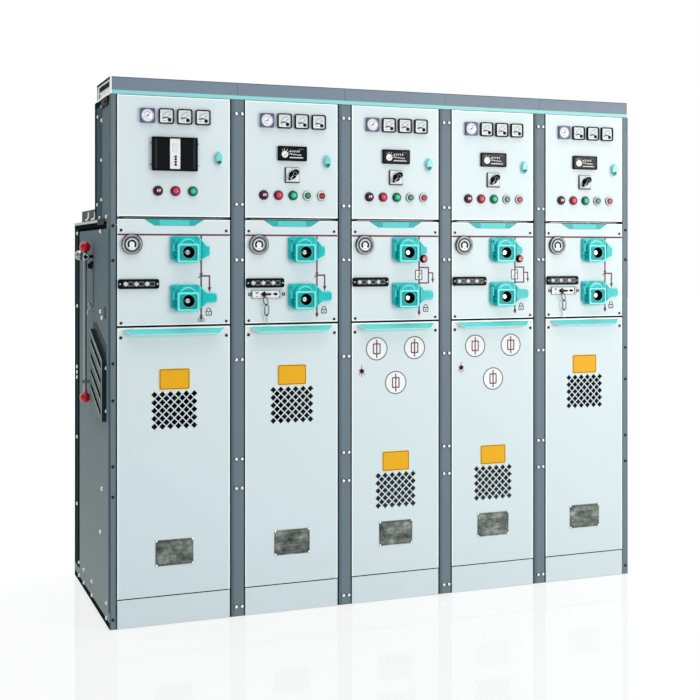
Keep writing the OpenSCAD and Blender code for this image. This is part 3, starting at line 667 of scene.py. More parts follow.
# panel tops and bottoms near black and left faces darker: painted shade in the gaps
dress("front_panels", ["panel", "black_edge_and_gap_shade", "side_dark_and_shade"], lambda c, n: 1 if abs(n.z) > 0.9 else (2 if n.x < -0.9 else 0), bevel=0.9)
dress("busbars", ["copper"], bevel=1.0)
dress("switch_units", ["resin_brown", "dark_steel"], lambda c, n: 1 if c.y < YF + 249 else 0, bevel=3.0, seg=3)
dress("fuses_and_transformers", ["resin_pale", "dark_steel", "copper"], lambda c, n: 1 if c.z < 306.2 and c.x < bx(1) else (2 if 1059 < c.z < 1131 and (c.x < bx(2) or c.x > bx(4)) else 0), bevel=2.0, seg=3)
# doors: left faces darker as painted shade; cable doors also black underneath as painted shade in the gap
for i in range(5):
    dress("instrument_door_%d" % (i + 1), ["panel", "side_dark_and_shade"], lambda c, n: 1 if n.x < -0.9 and c.y < YF + 21 else 0, bevel=1.0, seg=3)
    dress("cable_door_%d" % (i + 1), ["panel", "lip", "side_dark_and_shade", "black_edge_and_gap_shade"], lambda c, n: 1 if c.y < YF - 0.2 else (2 if n.x < -0.9 else (3 if n.z < -0.9 and c.z < 200 else 0)), bevel=0.9)
    dress("load_switch_shaft_%d" % (i + 1), ["zinc"], bevel=1.2)
    dress("earth_switch_shaft_%d" % (i + 1), ["zinc"], bevel=1.2)


def rim(b, x0, x1, z0, z1, wide=4.2, top=4.2, foot=4.2):
    """Painted highlight: a light band round the front of a door or panel, standing in for the light on its folded edge.
    """
    b.front(0, 0)
    for x in (x0 + 0.2, x1 - 0.2 - wide):
        b.box(x, x + wide, z0 + 0.2, z1 - 0.2, -0.12, 0.32, "panel_edge_painted_highlight", b=0.2)
    b.box(x0 + 0.3 + wide, x1 - 0.3 - wide, z1 - 0.2 - top, z1 - 0.2, -0.12, 0.32, "panel_edge_painted_highlight", b=0.2)
    if foot:
        b.box(x0 + 0.3 + wide, x1 - 0.3 - wide, z0 + 0.2, z0 + 0.2 + foot, -0.12, 0.32, "panel_edge_painted_highlight", b=0.2)


# ------------------------------------------------------------------ door instruments
def screw(b, x, y, r=3.0, h=2.0, mat="zinc", slot_turn=20.0, w=0.0):
    """Small domed screw with a cross slot."""
    b.turn([(r, w), (r, w + h * 0.35), (r * 0.82, w + h * 0.8), (r * 0.4, w + h), (0, w + h)], mat, 16, x, y)
    for k in (0, 90):
        b.prism(move(rrect(r * 1.2, r * 0.26, r * 0.1, 1), x, y, slot_turn + k), w + h * 0.8, w + h + 0.12, "ink")


def blue_meter(b, x, z):
    b.front(x, z)
    o = dense(rrect(58, 58, 4), 5.0)
    b.frame(o, circ_for(o, 26.2), 0.1, 12.5, "meter_blue", b=1.4)
    b.frame(circ(26.0, 48), circ(23.0, 48), 0.1, 10.4, "dial_violet", b=0.8)
    b.prism(circ(23.4, 48), 0.1, 8.0, "dial")
    b.prism(band_outline(14.0, 15.4, 40, 300, 40), 7.9, 8.2, "meter_blue")
    b.prism(band_outline(8.0, 9.2, 180, 420, 30), 7.9, 8.2, "dial_violet")
    for k in range(24):
        r0 = 19.2 if k % 2 else 17.6
        b.prism(line_outline([(r0 * math.cos(k * math.pi / 12), r0 * math.sin(k * math.pi / 12)), (21.8 * math.cos(k * math.pi / 12), 21.8 * math.sin(k * math.pi / 12))], 0.9), 7.9, 8.2, "meter_blue")
    b.prism(line_outline([(-3.0, -4.0), (9.0, 12.5)], 1.3), 7.9, 9.2, "ink_grey")
    b.prism(line_outline([(5.0, 1.6), (-9.5, -3.4)], 1.8), 7.9, 9.0, "ink_grey")
    b.turn([(3.0, 7.9), (2.8, 9.6), (1.8, 10.2), (0, 10.2)], "meter_blue", 20)
    for sx in (-1, 1):
        for sy in (-1, 1):
            b.turn([(1.9, 12.2), (1.9, 12.8), (0, 12.9)], "ink_grey", 12, sx * 24.4, sy * 24.4)
    b.turn([(20, -45), (25, -44), (25, 0.2)], "black", 36)


def moving_meter(b, x, z):
    b.front(x, z)
    b.frame(rrect(61, 61, 8), rrect(51, 51, 4.5), 0.1, 13.0, "black_gloss", b=2.0)
    b.prism(rrect(51.8, 51.8, 4.5), 0.1, 7.5, "dial")
    b.prism(rrect(40, 25, 2.5, 4, x=-0.5, y=7.5), 7.4, 7.65, "dial_grey")
    px, py = 12.5, -12.0
    b.prism(move(band_outline(28.4, 29.6, 96, 176, 20), px, py), 7.4, 7.9, "ink_grey")
    for k in range(11):
        a = math.radians(96 + 8 * k)
        r1 = 33.0 if k % 5 == 0 else 31.0
        b.prism(line_outline([(px + 28.2 * math.cos(a), py + 28.2 * math.sin(a)), (px + r1 * math.cos(a), py + r1 * math.sin(a))], 1.4 if k % 5 == 0 else 0.9), 7.4, 7.9, "ink_grey")
    # needle with its counterweight, and the stepped shade of the movement
    b.prism(line_outline([(px, py), (px - 9, py + 8.5), (px - 24.5, py + 7.0)], 2.4), 7.6, 9.2, "knob_black")
    b.prism(line_outline([(-16.5, -7.0), (-11.0, -10.5), (-5.5, -5.5), (0.0, -8.5)], 2.6), 7.4, 8.2, "knob_black")
    b.prism(line_outline([(9.0, 2.5), (15.5, 9.5)], 2.0), 7.6, 8.6, "ink_grey")
    b.prism(rrect(18, 1.8, 0.6, 2, x=-9, y=-17.0), 7.4, 7.9, "ink_grey")
    b.turn([(7.2, 7.4), (7.2, 10.0), (6.4, 11.0), (0, 11.2)], "knob_black", 28, px, py - 1.6)
    b.prism(line_outline([(px - 2.6, py - 1.2), (px + 3.4, py - 1.2)], 0.9), 11.0, 11.4, "ink_grey")
    b.turn([(20, -45), (25, -44), (25, 0.2)], "black", 36)
    for sx in (-1, 1):
        b.turn([(4.0, -51), (4.0, -44.8), (2.2, -44.8)], "zinc", 12, sx * 10, 0)


def lamp(b, x, z, mat, glint=False):
    b.front(x, z)
    dark = mat + "_rim"
    # rim in the darker lens colour is painted shade, middle in the lighter one a painted highlight
    b.turn([(20.0, 0.1), (20.0, 3.2), (19.4, 5.2), (18.2, 6.6), (16.6, 7.0), (15.6, 6.4), (15.2, 5.0)], dark, 48)
    b.turn([(15.5, 4.0), (15.5, 9.4), (14.9, 11.0), (13.2, 12.2), (11.0, 12.6), (10.2, 11.8), (9.4, 11.6)], mat, 48)
    b.turn([(9.6, 11.0), (9.6, 12.6), (8.2, 13.4), (4.4, 13.9), (0, 14.0)], mat + "_mid", 48)
    # painted glint: two pale bars on the lens
    if glint:
        for t in (-1, 1):
            b.prism(move(rrect(4.6, 9.4, 2.0, 4), 1.0 + t * 4.0, 0.8, -16), 13.0, 14.0, "lens_painted_glint", b=0.4)
    b.turn([(9.5, -45), (10.5, -44), (10.5, 0.2)], "black", 28)
    b.turn([(14.5, -12), (14.5, -2.4), (12, -2.2)], "grey_plastic", 6)


def button_seat(b, x, z, tint):
    b.front(x, z)
    # thin dark outer ring in the button's deep colour: painted shade round the seat
    b.frame(circ(20, 48), circ(18.6, 48), 0.1, 5.2, tint, b=0.8)
    b.frame(circ(18.8, 48), circ(13.35, 48), 0.1, 7.9, "white_plastic", b=2.4, bi=1.2, n=4)
    b.frame(circ(10.6, 28), circ(7.3, 28), -20, 0.2, "black")
    b.box(-14, 14, -20, 20, -55, -20, "grey_plastic", b=1.5)
    for t in (-1, 1):
        screw(b.front(x, z), t * 8, 14, 2.6, 1.4, "zinc", 30, w=-20)


def push_cap(x, z, mat, name, body, node):
    b = Build().front(x, z)
    b.turn([(13, 6.5), (13, 11.2), (12.5, 12.3), (11.4, 13.0), (9.6, 13.0), (8.8, 12.4)], mat + "_rim", 44)
    b.turn([(9.0, 11.6), (9.0, 12.4), (6.6, 12.2), (0, 12.0)], mat, 44)
    b.turn([(7, -14), (7, 6.6)], "black", 24)
    make(b, name, body, [node])


def selector_seat(b, x, z):
    b.front(x, z)
    # the white plate sits up and right on the dark frame, so the frame shows along the left and bottom: painted shadow
    b.prism(rrect(64, 64, 4), 0.1, 4.2, "dark_frame", b=0.8)
    b.prism(rrect(57, 57, 3, x=1.6, y=1.4), 4.0, 6.0, "white_film", b=0.6)
    b.frame(rrect(53, 53, 2.5, x=1.6, y=1.4), rrect(51.8, 51.8, 2, x=1.6, y=1.4), 5.8, 6.15, "ink_grey")
    for a in (45, 90, 135):
        c, s_ = math.cos(math.radians(a)), math.sin(math.radians(a))
        b.prism(line_outline([(21.6 * c, 21.6 * s_), (25.6 * c, 25.6 * s_)], 1.5), 5.8, 6.2, "ink")
    b.turn([(11.5, -20), (11.5, 0.2)], "black", 28)
    b.box(-22, 22, -22, 22, -70, -20, "grey_plastic", b=2.0)
    for k in range(3):
        b.box(-23, 23, -18 + 14 * k, -10 + 14 * k, -66, -26, "black", b=0.8)


def selector_knob(i):
    b = Build().front(xc(i), SEL_Z)
    b.turn([(16, 6.6), (16, 10.6), (15, 12.4), (12.6, 13.2), (0, 13.4)], "black", 44)
    b.front(xc(i), SEL_Z, turn=47)
    head, tail = [], []
    for k in range(15):
        a = math.radians(-100 + 200 * k / 14)
        head.append((15.5 + 12.2 * math.cos(a), 12.2 * math.sin(a)))
    for k in range(9):
        a = math.radians(100 + 20 * k)
        tail.append((-23.6 + 4.6 * math.cos(a), 4.6 * math.sin(a)))
    b.prism(head + tail, 12.0, 27.0, "black", b=3.0, n=4)
    # light grey ring on top of the knob: painted highlight
    b.frame(circ(8.4, 32, 6.0, 0), circ(6.8, 32, 6.0, 0), 26.6, 27.2, "grey_plastic", b=0.2)
    b.prism(line_outline([(-23.5, 0), (-6.0, 0)], 2.2), 26.7, 27.15, "white_film")
    b.turn([(5, -18), (5, 7)], "steel", 20)
    make(b, "selector_handle_%d" % (i + 1), "selector_%d" % (i + 1), ["selector_knob_%d" % (i + 1)])


def display(b, x, z):
    b.front(x, z)
    b.frame(rrect(124, 60, 3.5), rrect(115, 51, 2), 0.1, 10.0, "black", b=1.2)
    b.prism(rrect(116, 52, 2), 0.1, 8.0, "black_gloss")
    # position flag, its leads and the rows of status marks
    b.prism(circ(14.0, 40, -33, -3.5), 7.9, 8.8, "white_lamp", b=0.4)
    b.prism(move(rrect(20, 2.6, 0.8, 3), -31, -5.5, 40), 8.7, 9.0, "grey_plastic")
    for a, r0, r1 in ((96, 15.5, 24), (122, 15.5, 22), (62, 15.5, 25), (30, 16.5, 27), (4, 16.5, 28)):
        c, s_ = math.cos(math.radians(a)), math.sin(math.radians(a))
        b.prism(line_outline([(-33 + r0 * c, -3.5 + r0 * s_), (-33 + r1 * c, -3.5 + r1 * s_)], 1.5), 7.9, 8.3, "white_film")
    for k in range(5):
        b.prism(move(rrect(3.0, 8.5, 0.8, 3), -8 + 9.0 * k, 9.4, -20), 7.9, 8.3, "white_film")
    b.prism(line_outline([(-10, 0.5), (2, -3.0), (38, -5.6)], 2.2), 7.9, 8.3, "white_film")
    for k in range(6):
        b.prism(move(rrect(5.6, 2.0, 0.6, 3), -6 + 8.6 * k, -9.2, 30), 7.9, 8.3, "ink_grey")
    b.prism(rrect(58, 3.6, 1.2, 3, x=16, y=-16.6), 7.9, 8.3, "white_film")
    for k in range(5):
        b.prism(rrect(1.2, 5.0, 0.3, 2, x=-6 + 10.6 * k, y=-16.6), 8.1, 8.45, "ink")
    b.prism(rrect(20, 2.4, 0.8, 3, x=37, y=18.5), 7.9, 8.3, "ink_grey")
    b.box(-56.5, 56.5, -25.5, 25.5, -70, 0.2, "black", b=1.5)
    b.box(-46, 46, -6, 10, -78, -69.8, "button_green", b=1.0)
    for k in range(9):
        b.turn([(2.2, -79), (2.2, -77.6)], "zinc", 10, -40 + 10 * k, 2)


def relay(b, x, z):
    """Protection relay: z is the middle of its face."""
    b.front(x, z)
    b.frame(rrect(182, 133, 3), rrect(170, 121, 2), 0.1, 16.0, "black", b=1.6)
    b.prism(rrect(171, 122, 2), 0.1, 12.0, "black_gloss")
    for sx in (-1, 1):
        b.box(sx * 77 - 5.0, sx * 77 + 5.0, -60, 60, 11.8, 13.0, "smoke", b=0.6)
        b.box(sx * 24 - 1.6, sx * 24 + 1.6, -60, 60, 11.8, 13.6, "black", b=0.5)
    b.prism(rrect(41, 120, 1.5, 4, y=1.0), 11.8, 13.0, "white_plastic", b=0.5)
    b.prism(rrect(24, 34, 2, 4, y=24), 12.8, 13.5, "zinc_pale", b=0.3)
    b.prism(rrect(20, 30, 1.5, 4, y=24), 13.3, 13.8, "dial_grey", b=0.3)
    for k in range(4):
        b.prism(rrect(9, 8, 1.6, 4, x=2.0, y=-10.5 - 10.6 * k), 12.8, 14.6, "black", b=0.7)
        b.prism(circ(1.3, 14, -10, -10.5 - 10.6 * k), 12.8, 13.6, "lens_red" if k else "lens_green", b=0.4)
    for sx in (-1, 1):
        for y in (42.5, -42.5):
            b.prism(rrect(9, 7, 2.0, 4, x=sx * 95.5, y=y), 0.05, 3.0, "grey_plastic", b=0.6)
            screw(b, sx * 96.5, y, 2.6, 1.8, "zinc", 25, w=2.8)
    b.box(-82.5, 82.5, -59, 59, -120, 0.2, "zinc_sheet", b=2.0)
    for r in range(2):
        b.box(-70, 70, -38 + 46 * r, -14 + 46 * r, -132, -119.8, "button_green", b=1.2)
        for k in range(11):
            b.turn([(3.0, -133), (3.0, -131.6)], "zinc", 10, -62 + 12.4 * k, -26 + 46 * r)


def almond(w, h, n=14):
    """Pointed oval: two arcs that meet at the top and the bottom."""
    r = (w * w / 4 + h * h / 4) / w
    a = math.asin(h / 2 / r)
    right = [(r * math.cos(-a + 2 * a * k / n) - (r - w / 2), r * math.sin(-a + 2 * a * k / n)) for k in range(n + 1)]
    return right + [(-x, -y) for x, y in right[1:-1]]


def lock_seat(b, x, z):
    b.front(x, z)
    b.prism(rrect(36, 60, 17.8, 9), 0.1, 4.0, "lock_pale", b=1.6)


def lock_handle(i):
    x = dr(i) - 47
    b = Build().front(x, LOCK_Z)
    b.prism(almond(30.0, 53), 4.5, 15.0, "lock_cyan", b=4.2, n=5)
    # darker lower end of the handle: painted shade
    o = [p for p in almond(29.2, 52.0, 28) if p[1] < -9.0]
    b.prism(sorted([p for p in o if p[0] < 0], key=lambda p: -p[1]) + sorted([p for p in o if p[0] >= 0], key=lambda p: p[1]), 6.0, 15.6, "lock_deep", b=2.4, n=4)
    b.turn([(4.6, 15.2), (4.6, 15.9), (0, 16.0)], "dark_steel", 24, 0, -13.5)
    b.turn([(6, -15), (6, 5)], "steel", 24)
    b.front(x, LOCK_Z, 11)
    b.prism(rrect(38, 14, 4, 4, x=13), -3, 0, "zinc", b=0.6)
    b.turn([(6.6, -6.4), (6.6, -3.0), (3, -3.0)], "zinc", 6)
    make(b, "lock_handle_%d" % (i + 1), "lock_%d" % (i + 1), ["door_lock_%d" % (i + 1)])


for i in range(5):
    n = i + 1
    body = "door_%d" % n
    b = Build()
    rim(b, dl(i), dr(i), INS_Z0, INS_Z1)
    blue_meter(b, meter_x(i, 0), METER_Z)
    for k in (1, 2, 3):
        moving_meter(b, meter_x(i, k), METER_Z)
    lock_seat(b, dr(i) - 47, LOCK_Z)
    lens_of = ("lens_maroon", "lens_red", "lens_green")
    if i == 0:
        relay(b, xc(0), DISP_Z - 16.5)
        for k in range(3):
            lamp(b, lamp_x(0, k), LAMP_Z + 9, lens_of[k], k == 0)
    else:
        display(b, xc(i), DISP_Z)
        selector_seat(b, xc(i), SEL_Z)
        for k in range(3):
            lamp(b, lamp_x(i, k), LAMP_Z, lens_of[k], k == 0)
        for k in (3, 4):
            button_seat(b, lamp_x(i, k), LAMP_Z, "button_green_rim" if k == 3 else "button_red_rim")
        selector_knob(i)
        push_cap(lamp_x(i, 3), LAMP_Z, "button_green", "close_cap_%d" % n, "close_button_%d" % n, "close_button_%d" % n)
        push_cap(lamp_x(i, 4), LAMP_Z, "button_red", "open_cap_%d" % n, "open_button_%d" % n, "open_button_%d" % n)
    make(b, "instruments_%d" % n, body, ["door_instruments_%d" % n])
    lock_handle(i)


# ------------------------------------------------------------------ mechanism covers
def cover(b, x, z, reach, tab_h, tab_dz, cut, tab_r):
    """Moulded cover round one operating hole; its lighter cyan edges and ribs are painted highlights and its darker
    recess painted shade.
    """
    b.front(x, z)
    base = dense(rrect(114, 94, 10, 7, x=-10, y=17), 6.0)
    b.frame(base, circ_for(base, 24), 0.05, 12.0, "cyan_flange", b=2.4, bi=0)
    # flange screws in their bosses, and the stepped left edge
    for y in (-12, 48):
        b.turn([(8.5, 11), (8.5, 13.8), (7.6, 15.0), (5.6, 15.4), (5.2, 14.0), (0, 14.0)], "cyan_flange", 24, -56, y)
        screw(b, -56, y, 4.4, 2.2, "cyan_dark_and_shade", 15 + y, w=13.8)
    b.prism(rrect(12, 34, 3, 4, x=-56, y=18), 11.6, 15.0, "cyan", b=1.2)
    b.prism(rrect(5, 26, 2, 4, x=-56, y=18), 14.8, 16.6, "cyan_edge_painted_highlight", b=0.8)
    # arched boss with its rib
    arch = [(46 * math.cos(math.radians(a)), 18 + 46 * math.sin(math.radians(a))) for a in range(16, 165, 4)]
    arch = [(44.0, 26.0)] + arch + [(-44.0, 26.0)]
    b.prism(arch, 0.05, 19.0, "cyan", b=3.4)
    rib = band_outline(28.6, 34.0, 18, 162, 30)
    b.prism(move(rib, 0, 21), 18.4, 22.0, "cyan_edge_painted_highlight", b=1.4)
    # right shoulder and tab
    lo = [(50, -36), (58, -10)] if cut else [(47, -36)]
    sh = [(36, -36)] + lo + [(80, tab_dz - tab_h / 2), (80, tab_dz + tab_h / 2), (46, 62), (36, 62)]
    b.prism(sh, 0.05, 14.0, "cyan", b=2.4)
    b.prism(line_outline([(48, 57), (77, tab_dz + tab_h / 2 - 2)], 3.0), 13.4, 15.8, "cyan_edge_painted_highlight", b=0.9)
    b.prism(line_outline([(49, 54), (49, -30)], 2.6), 13.4, 15.4, "cyan_edge_painted_highlight", b=0.8)
    tab = rrect(reach - 60, tab_h, tab_r, 7, x=(reach + 60) / 2, y=tab_dz)
    b.prism(tab, 0.05, 10.0, "cyan", b=2.4)
    b.frame(inset(tab, 1.6), inset(tab, 3.6), 9.4, 10.6, "cyan_edge_painted_highlight", b=0.5)
    b.prism(line_outline([(58, 46), (58, -22)], 3.0), 13.6, 14.4, "mimic_dark")
    # raised square frame, its recess and the operating hole
    o = rrect(90, 77, 9, 7, x=-2, y=-3)
    q = rrect(70, 57, 6, 7, x=-2, y=-3)
    b.frame(o, q, 0.05, 34.6, "cyan", b=3.0, n=4)
    b.frame(inset(o, 1.6), inset(q, -0.8), 33.0, 36.0, "cyan_edge_painted_highlight", b=2.2, n=4)
    q2 = dense(rrect(71, 58, 6, 7, x=-2, y=-3), 5.0)
    # darker recess plate: painted shade
    b.frame(q2, circ_for(q2, 24), 26.0, 31.0, "cyan_dark_and_shade", b=0, bi=0)
    b.frame(circ(28.0, 56), circ(24.0, 56), 24.0, 33.4, "cyan", b=1.2)
    # black lining of the hole, which stands in for the shade inside it
    b.frame(circ(24.3, 56), circ(22.4, 56), 0.1, 32.2, "black", b=0.8)
    b.frame(circ(24.0, 48), circ(14.2, 48), 0.1, 4.0, "black", b=0.6)
    for sx in (-1, 1):
        for sy in (-1, 1):
            b.turn([(3.6, 30.8), (3.6, 32.6), (2.8, 33.4), (0, 33.6)], "cyan", 16, -2 + sx * 29.5, -3 + sy * 23)
    # ribs on the frame's left wall
    for y in (-28, -10, 8):
        b.prism(rrect(8, 9, 1.2, 3, x=-49, y=y), 0.1, 22.0, "cyan", b=1.4)


b = Build()
for i in range(5):
    trip = i in (2, 3)
    cover(b, xc(i) + 50, LOAD_Z, 92, 30 if trip else 40, 10 if trip else 5, trip, 7.0)
    cover(b, xc(i) + 50, EARTH_Z, 122, 40, 11, False, 14.0)
make(b, "operating_covers", "cabinet", ["mechanism_covers"])

for i in range(5):
    for kind, z in (("load", LOAD_Z), ("earth", EARTH_Z)):
        b = Build().front(xc(i) + 50, z)
        b.frame(circ(12.9, 40), circ(8.4, 40), 6.0, 14.8, "dark_steel", b=1.2, bi=0.8)
        b.prism(rrect(15.4, 2.6, 0.8, 3), 13.9, 14.5, "ink")
        make(b, "%s_shaft_collar_%d" % (kind, i + 1), "%s_shaft_%d" % (kind, i + 1))

# ------------------------------------------------------------------ gauges, voltage strips, trip buttons
b = Build()
for i in range(5):
    b.front(dl(i) + 57, BODY_H - 101)
    b.turn([(41, 0.05), (41, 7.0), (40.2, 8.6), (38.8, 9.4), (34.0, 9.4)], "dark_steel", 64)
    # bezel and dial sit a little down and left of the dark case, so the case shows as a crescent at the upper right:
    # painted shadow
    b.turn([(38.6, 8.6), (38.6, 11.0), (37.8, 12.8), (36.2, 13.6), (34.4, 13.4), (33.2, 12.2), (32.8, 10.6)], "bezel", 64, -1.6, -1.2)
    b.turn([(33.2, 9.2), (33.2, 10.4), (31.0, 10.4), (28.4, 9.6)], "grey_plastic", 64, -1.6, -1.2)
    b.turn([(29.4, 9.2), (29.4, 11.4), (28.2, 12.2), (26.4, 12.2), (25.4, 11.0)], "black_gloss", 64, -1.2, -0.6)
    b.turn([(25.8, 9.6), (25.8, 11.6), (24.6, 12.2), (22.6, 11.8), (21.8, 10.6)], "bezel", 64, -1.2, -0.6)
    b.turn([(22.2, 9.0), (22.2, 10.5), (0, 10.5)], "dial", 64, -1.2, -0.6)
    b.prism(move(band_outline(10.2, 18.4, -46, 226, 40), -1.2, -0.6), 10.4, 10.9, "ink")
    for k in range(9):
        a = math.radians(-40 + 32.5 * k)
        b.prism(line_outline([(-1.2 + 19.2 * math.cos(a), -0.6 + 19.2 * math.sin(a)), (-1.2 + 21.2 * math.cos(a), -0.6 + 21.2 * math.sin(a))], 1.0), 10.4, 10.9, "ink_grey")
    a = math.radians(118)
    b.prism(line_outline([(-1.2 - 4 * math.cos(a), -0.6 - 4 * math.sin(a)), (-1.2 + 15 * math.cos(a), -0.6 + 15 * math.sin(a))], 1.6), 10.9, 11.6, "white_film")
    b.turn([(4.0, 10.4), (4.0, 11.8), (2.8, 12.4), (0, 12.5)], "white_plastic", 20, -1.2, -0.6)
    b.prism(rrect(9, 2.6, 1, 3, x=-1.2, y=-15.5), 10.4, 10.8, "ink_grey")
    # voltage indicator strip
    b.front(dl(i) + 83, BODY_H - 257)
    b.prism(rrect(161, 38, 8), 0.05, 9.0, "black", b=1.4)
    b.prism(rrect(138, 25, 3), 8.8, 9.5, "black_gloss", b=0.4)
    for k in (-1, 0, 1):
        b.turn([(9.6, 9.2), (9.6, 10.2), (8.6, 10.6)], "grey_plastic", 30, k * 42 - 10, 0)
        b.turn([(8.0, 9.2), (8.0, 10.8), (6.8, 11.6), (4.2, 12.2), (0, 12.4)], "dull_lamp", 30, k * 42 - 10, 0)
        b.frame(rrect(22, 18, 5, x=k * 42 + 10), rrect(18.6, 14.6, 4, x=k * 42 + 10), 9.2, 10.4, "grey_plastic", b=0.5)
        b.prism(rrect(18.2, 14.2, 4, x=k * 42 + 10), 9.2, 9.9, "smoke", b=0.2)
    for sx in (-1, 1):
        screw(b, sx * 73.5, 0, 3.6, 2.2, "zinc", 30, w=8.9)
    if i in (2, 3):
        b.front(xc(i) + 128, TRIP_Z)
        b.frame(circ(17, 44), circ(14.4, 44), 0.05, 7.0, "black_gloss", b=1.0)
        b.frame(circ(21, 44), circ(16.8, 44), 0.02, 0.5, "white_film")
make(b, "panel_dials", "cabinet", ["panel_indicators"])

for i in (2, 3):
    b = Build().front(xc(i) + 128, TRIP_Z)
    b.turn([(14, 6.0), (14, 13.6), (13.2, 15.6), (11.6, 16.6), (10.4, 17.0)], "black_gloss", 40)
    b.turn([(10.6, 15.5), (10.6, 17.0), (9.4, 16.6), (5.0, 15.9), (0, 15.7)], "trip_red", 40)
    b.turn([(6, -26), (6, 6.2)], "steel", 20)
    make(b, "trip_cap_%d" % (i + 1), "trip_button_%d" % (i + 1), ["fuse_trip_button_%d" % (i + 1)])

# ------------------------------------------------------------------ key interlocks
b = Build()
for i in (1, 4):
    x, z = dl(i) + 91, BODY_H - 303
    b.front(x, z)
    b.prism(rrect(128, 34, 3), 0.05, 4.4, "ink_grey", b=0.5)
    b.prism(rrect(123, 29.6, 2), 4.2, 5.0, "white_plastic", b=0.3)
    # turning knob drawn out to an arrow, its stop and the key slot
    b.prism([(-27, 0), (-10, -12.5), (-10, -4.4), (16, -3.4), (16, 3.4), (-10, 4.4), (-10, 12.5)], 4.8, 12.0, "black", b=1.4)
    b.turn([(8.2, 11.6), (8.2, 13.4), (7.2, 14.0), (0, 14.0)], "black_gloss", 28, -13, 0)
    b.prism([(25, 1.5), (34, -4.5), (43, -3.6), (43, 3.6), (34, 6.0)], 4.8, 9.6, "black", b=1.0)
    b.prism(line_outline([(50, 13), (55, 9), (55, -9), (50, -13)], 3.2), 4.8, 6.6, "ink", b=0.4)
    b.prism(line_outline([(-49, 11), (-44, 3), (-39, 11), (-39, 4)], 2.6), 4.8, 5.8, "ink")
    b.prism(line_outline([(-48, -9), (-38, -9)], 2.4), 4.8, 5.6, "ink_grey")
    for sx in (-1, 1):
        o = circ(7.0, 24, sx * 71.5, 0)
        b.frame(o, circ(3.8, 24, sx * 71.5, 0), 0.05, 3.0, "dark_steel", b=0.6)
        b.prism(rrect(8, 5, 1, 3, x=sx * 65.5), 0.05, 2.4, "dark_steel", b=0.4)

    def link(cx, cy, w, lean, half, wide):
        path = []
        for k in range(32):
            a = 2 * math.pi * k / 32
            px, py = wide * math.cos(a), (half if math.sin(a) > 0 else -half) + wide * math.sin(a)
            q = math.radians(lean)
            path.append((cx + px * math.cos(q) - py * math.sin(q), cy + px * math.sin(q) + py * math.cos(q), w))
        return path

    b.tube(link(-10, -26, 16.4, 14.0, 7.0, 8.4), 1.7, "dark_steel", 10, closed=True)
    b.turn([(3.6, 11.4), (3.6, 17.4), (0, 17.6)], "black", 20, -5.5, -42.5)
    b.tube(link(-4, -64, 13.4, -3.0, 12.0, 8.6), 1.7, "dark_steel", 10, closed=True)
    b.prism([(-5.6, -119), (-1.4, -119), (-0.6, -86), (-6.4, -86)], 11.8, 13.4, "bezel", b=0.4)
    b.frame(circ(4.6, 24, -3.5, -84.5), circ(2.4, 24, -3.5, -84.5), 11.6, 13.6, "dark_steel", b=0.4)
make(b, "interlock_plates", "cabinet", ["key_interlocks"])


# ------------------------------------------------------------------ mimic lines, titles and plates of the mechanism panels
def thin(b, outline, mat, h=0.35):
    b.prism(outline, -0.15, h, mat)


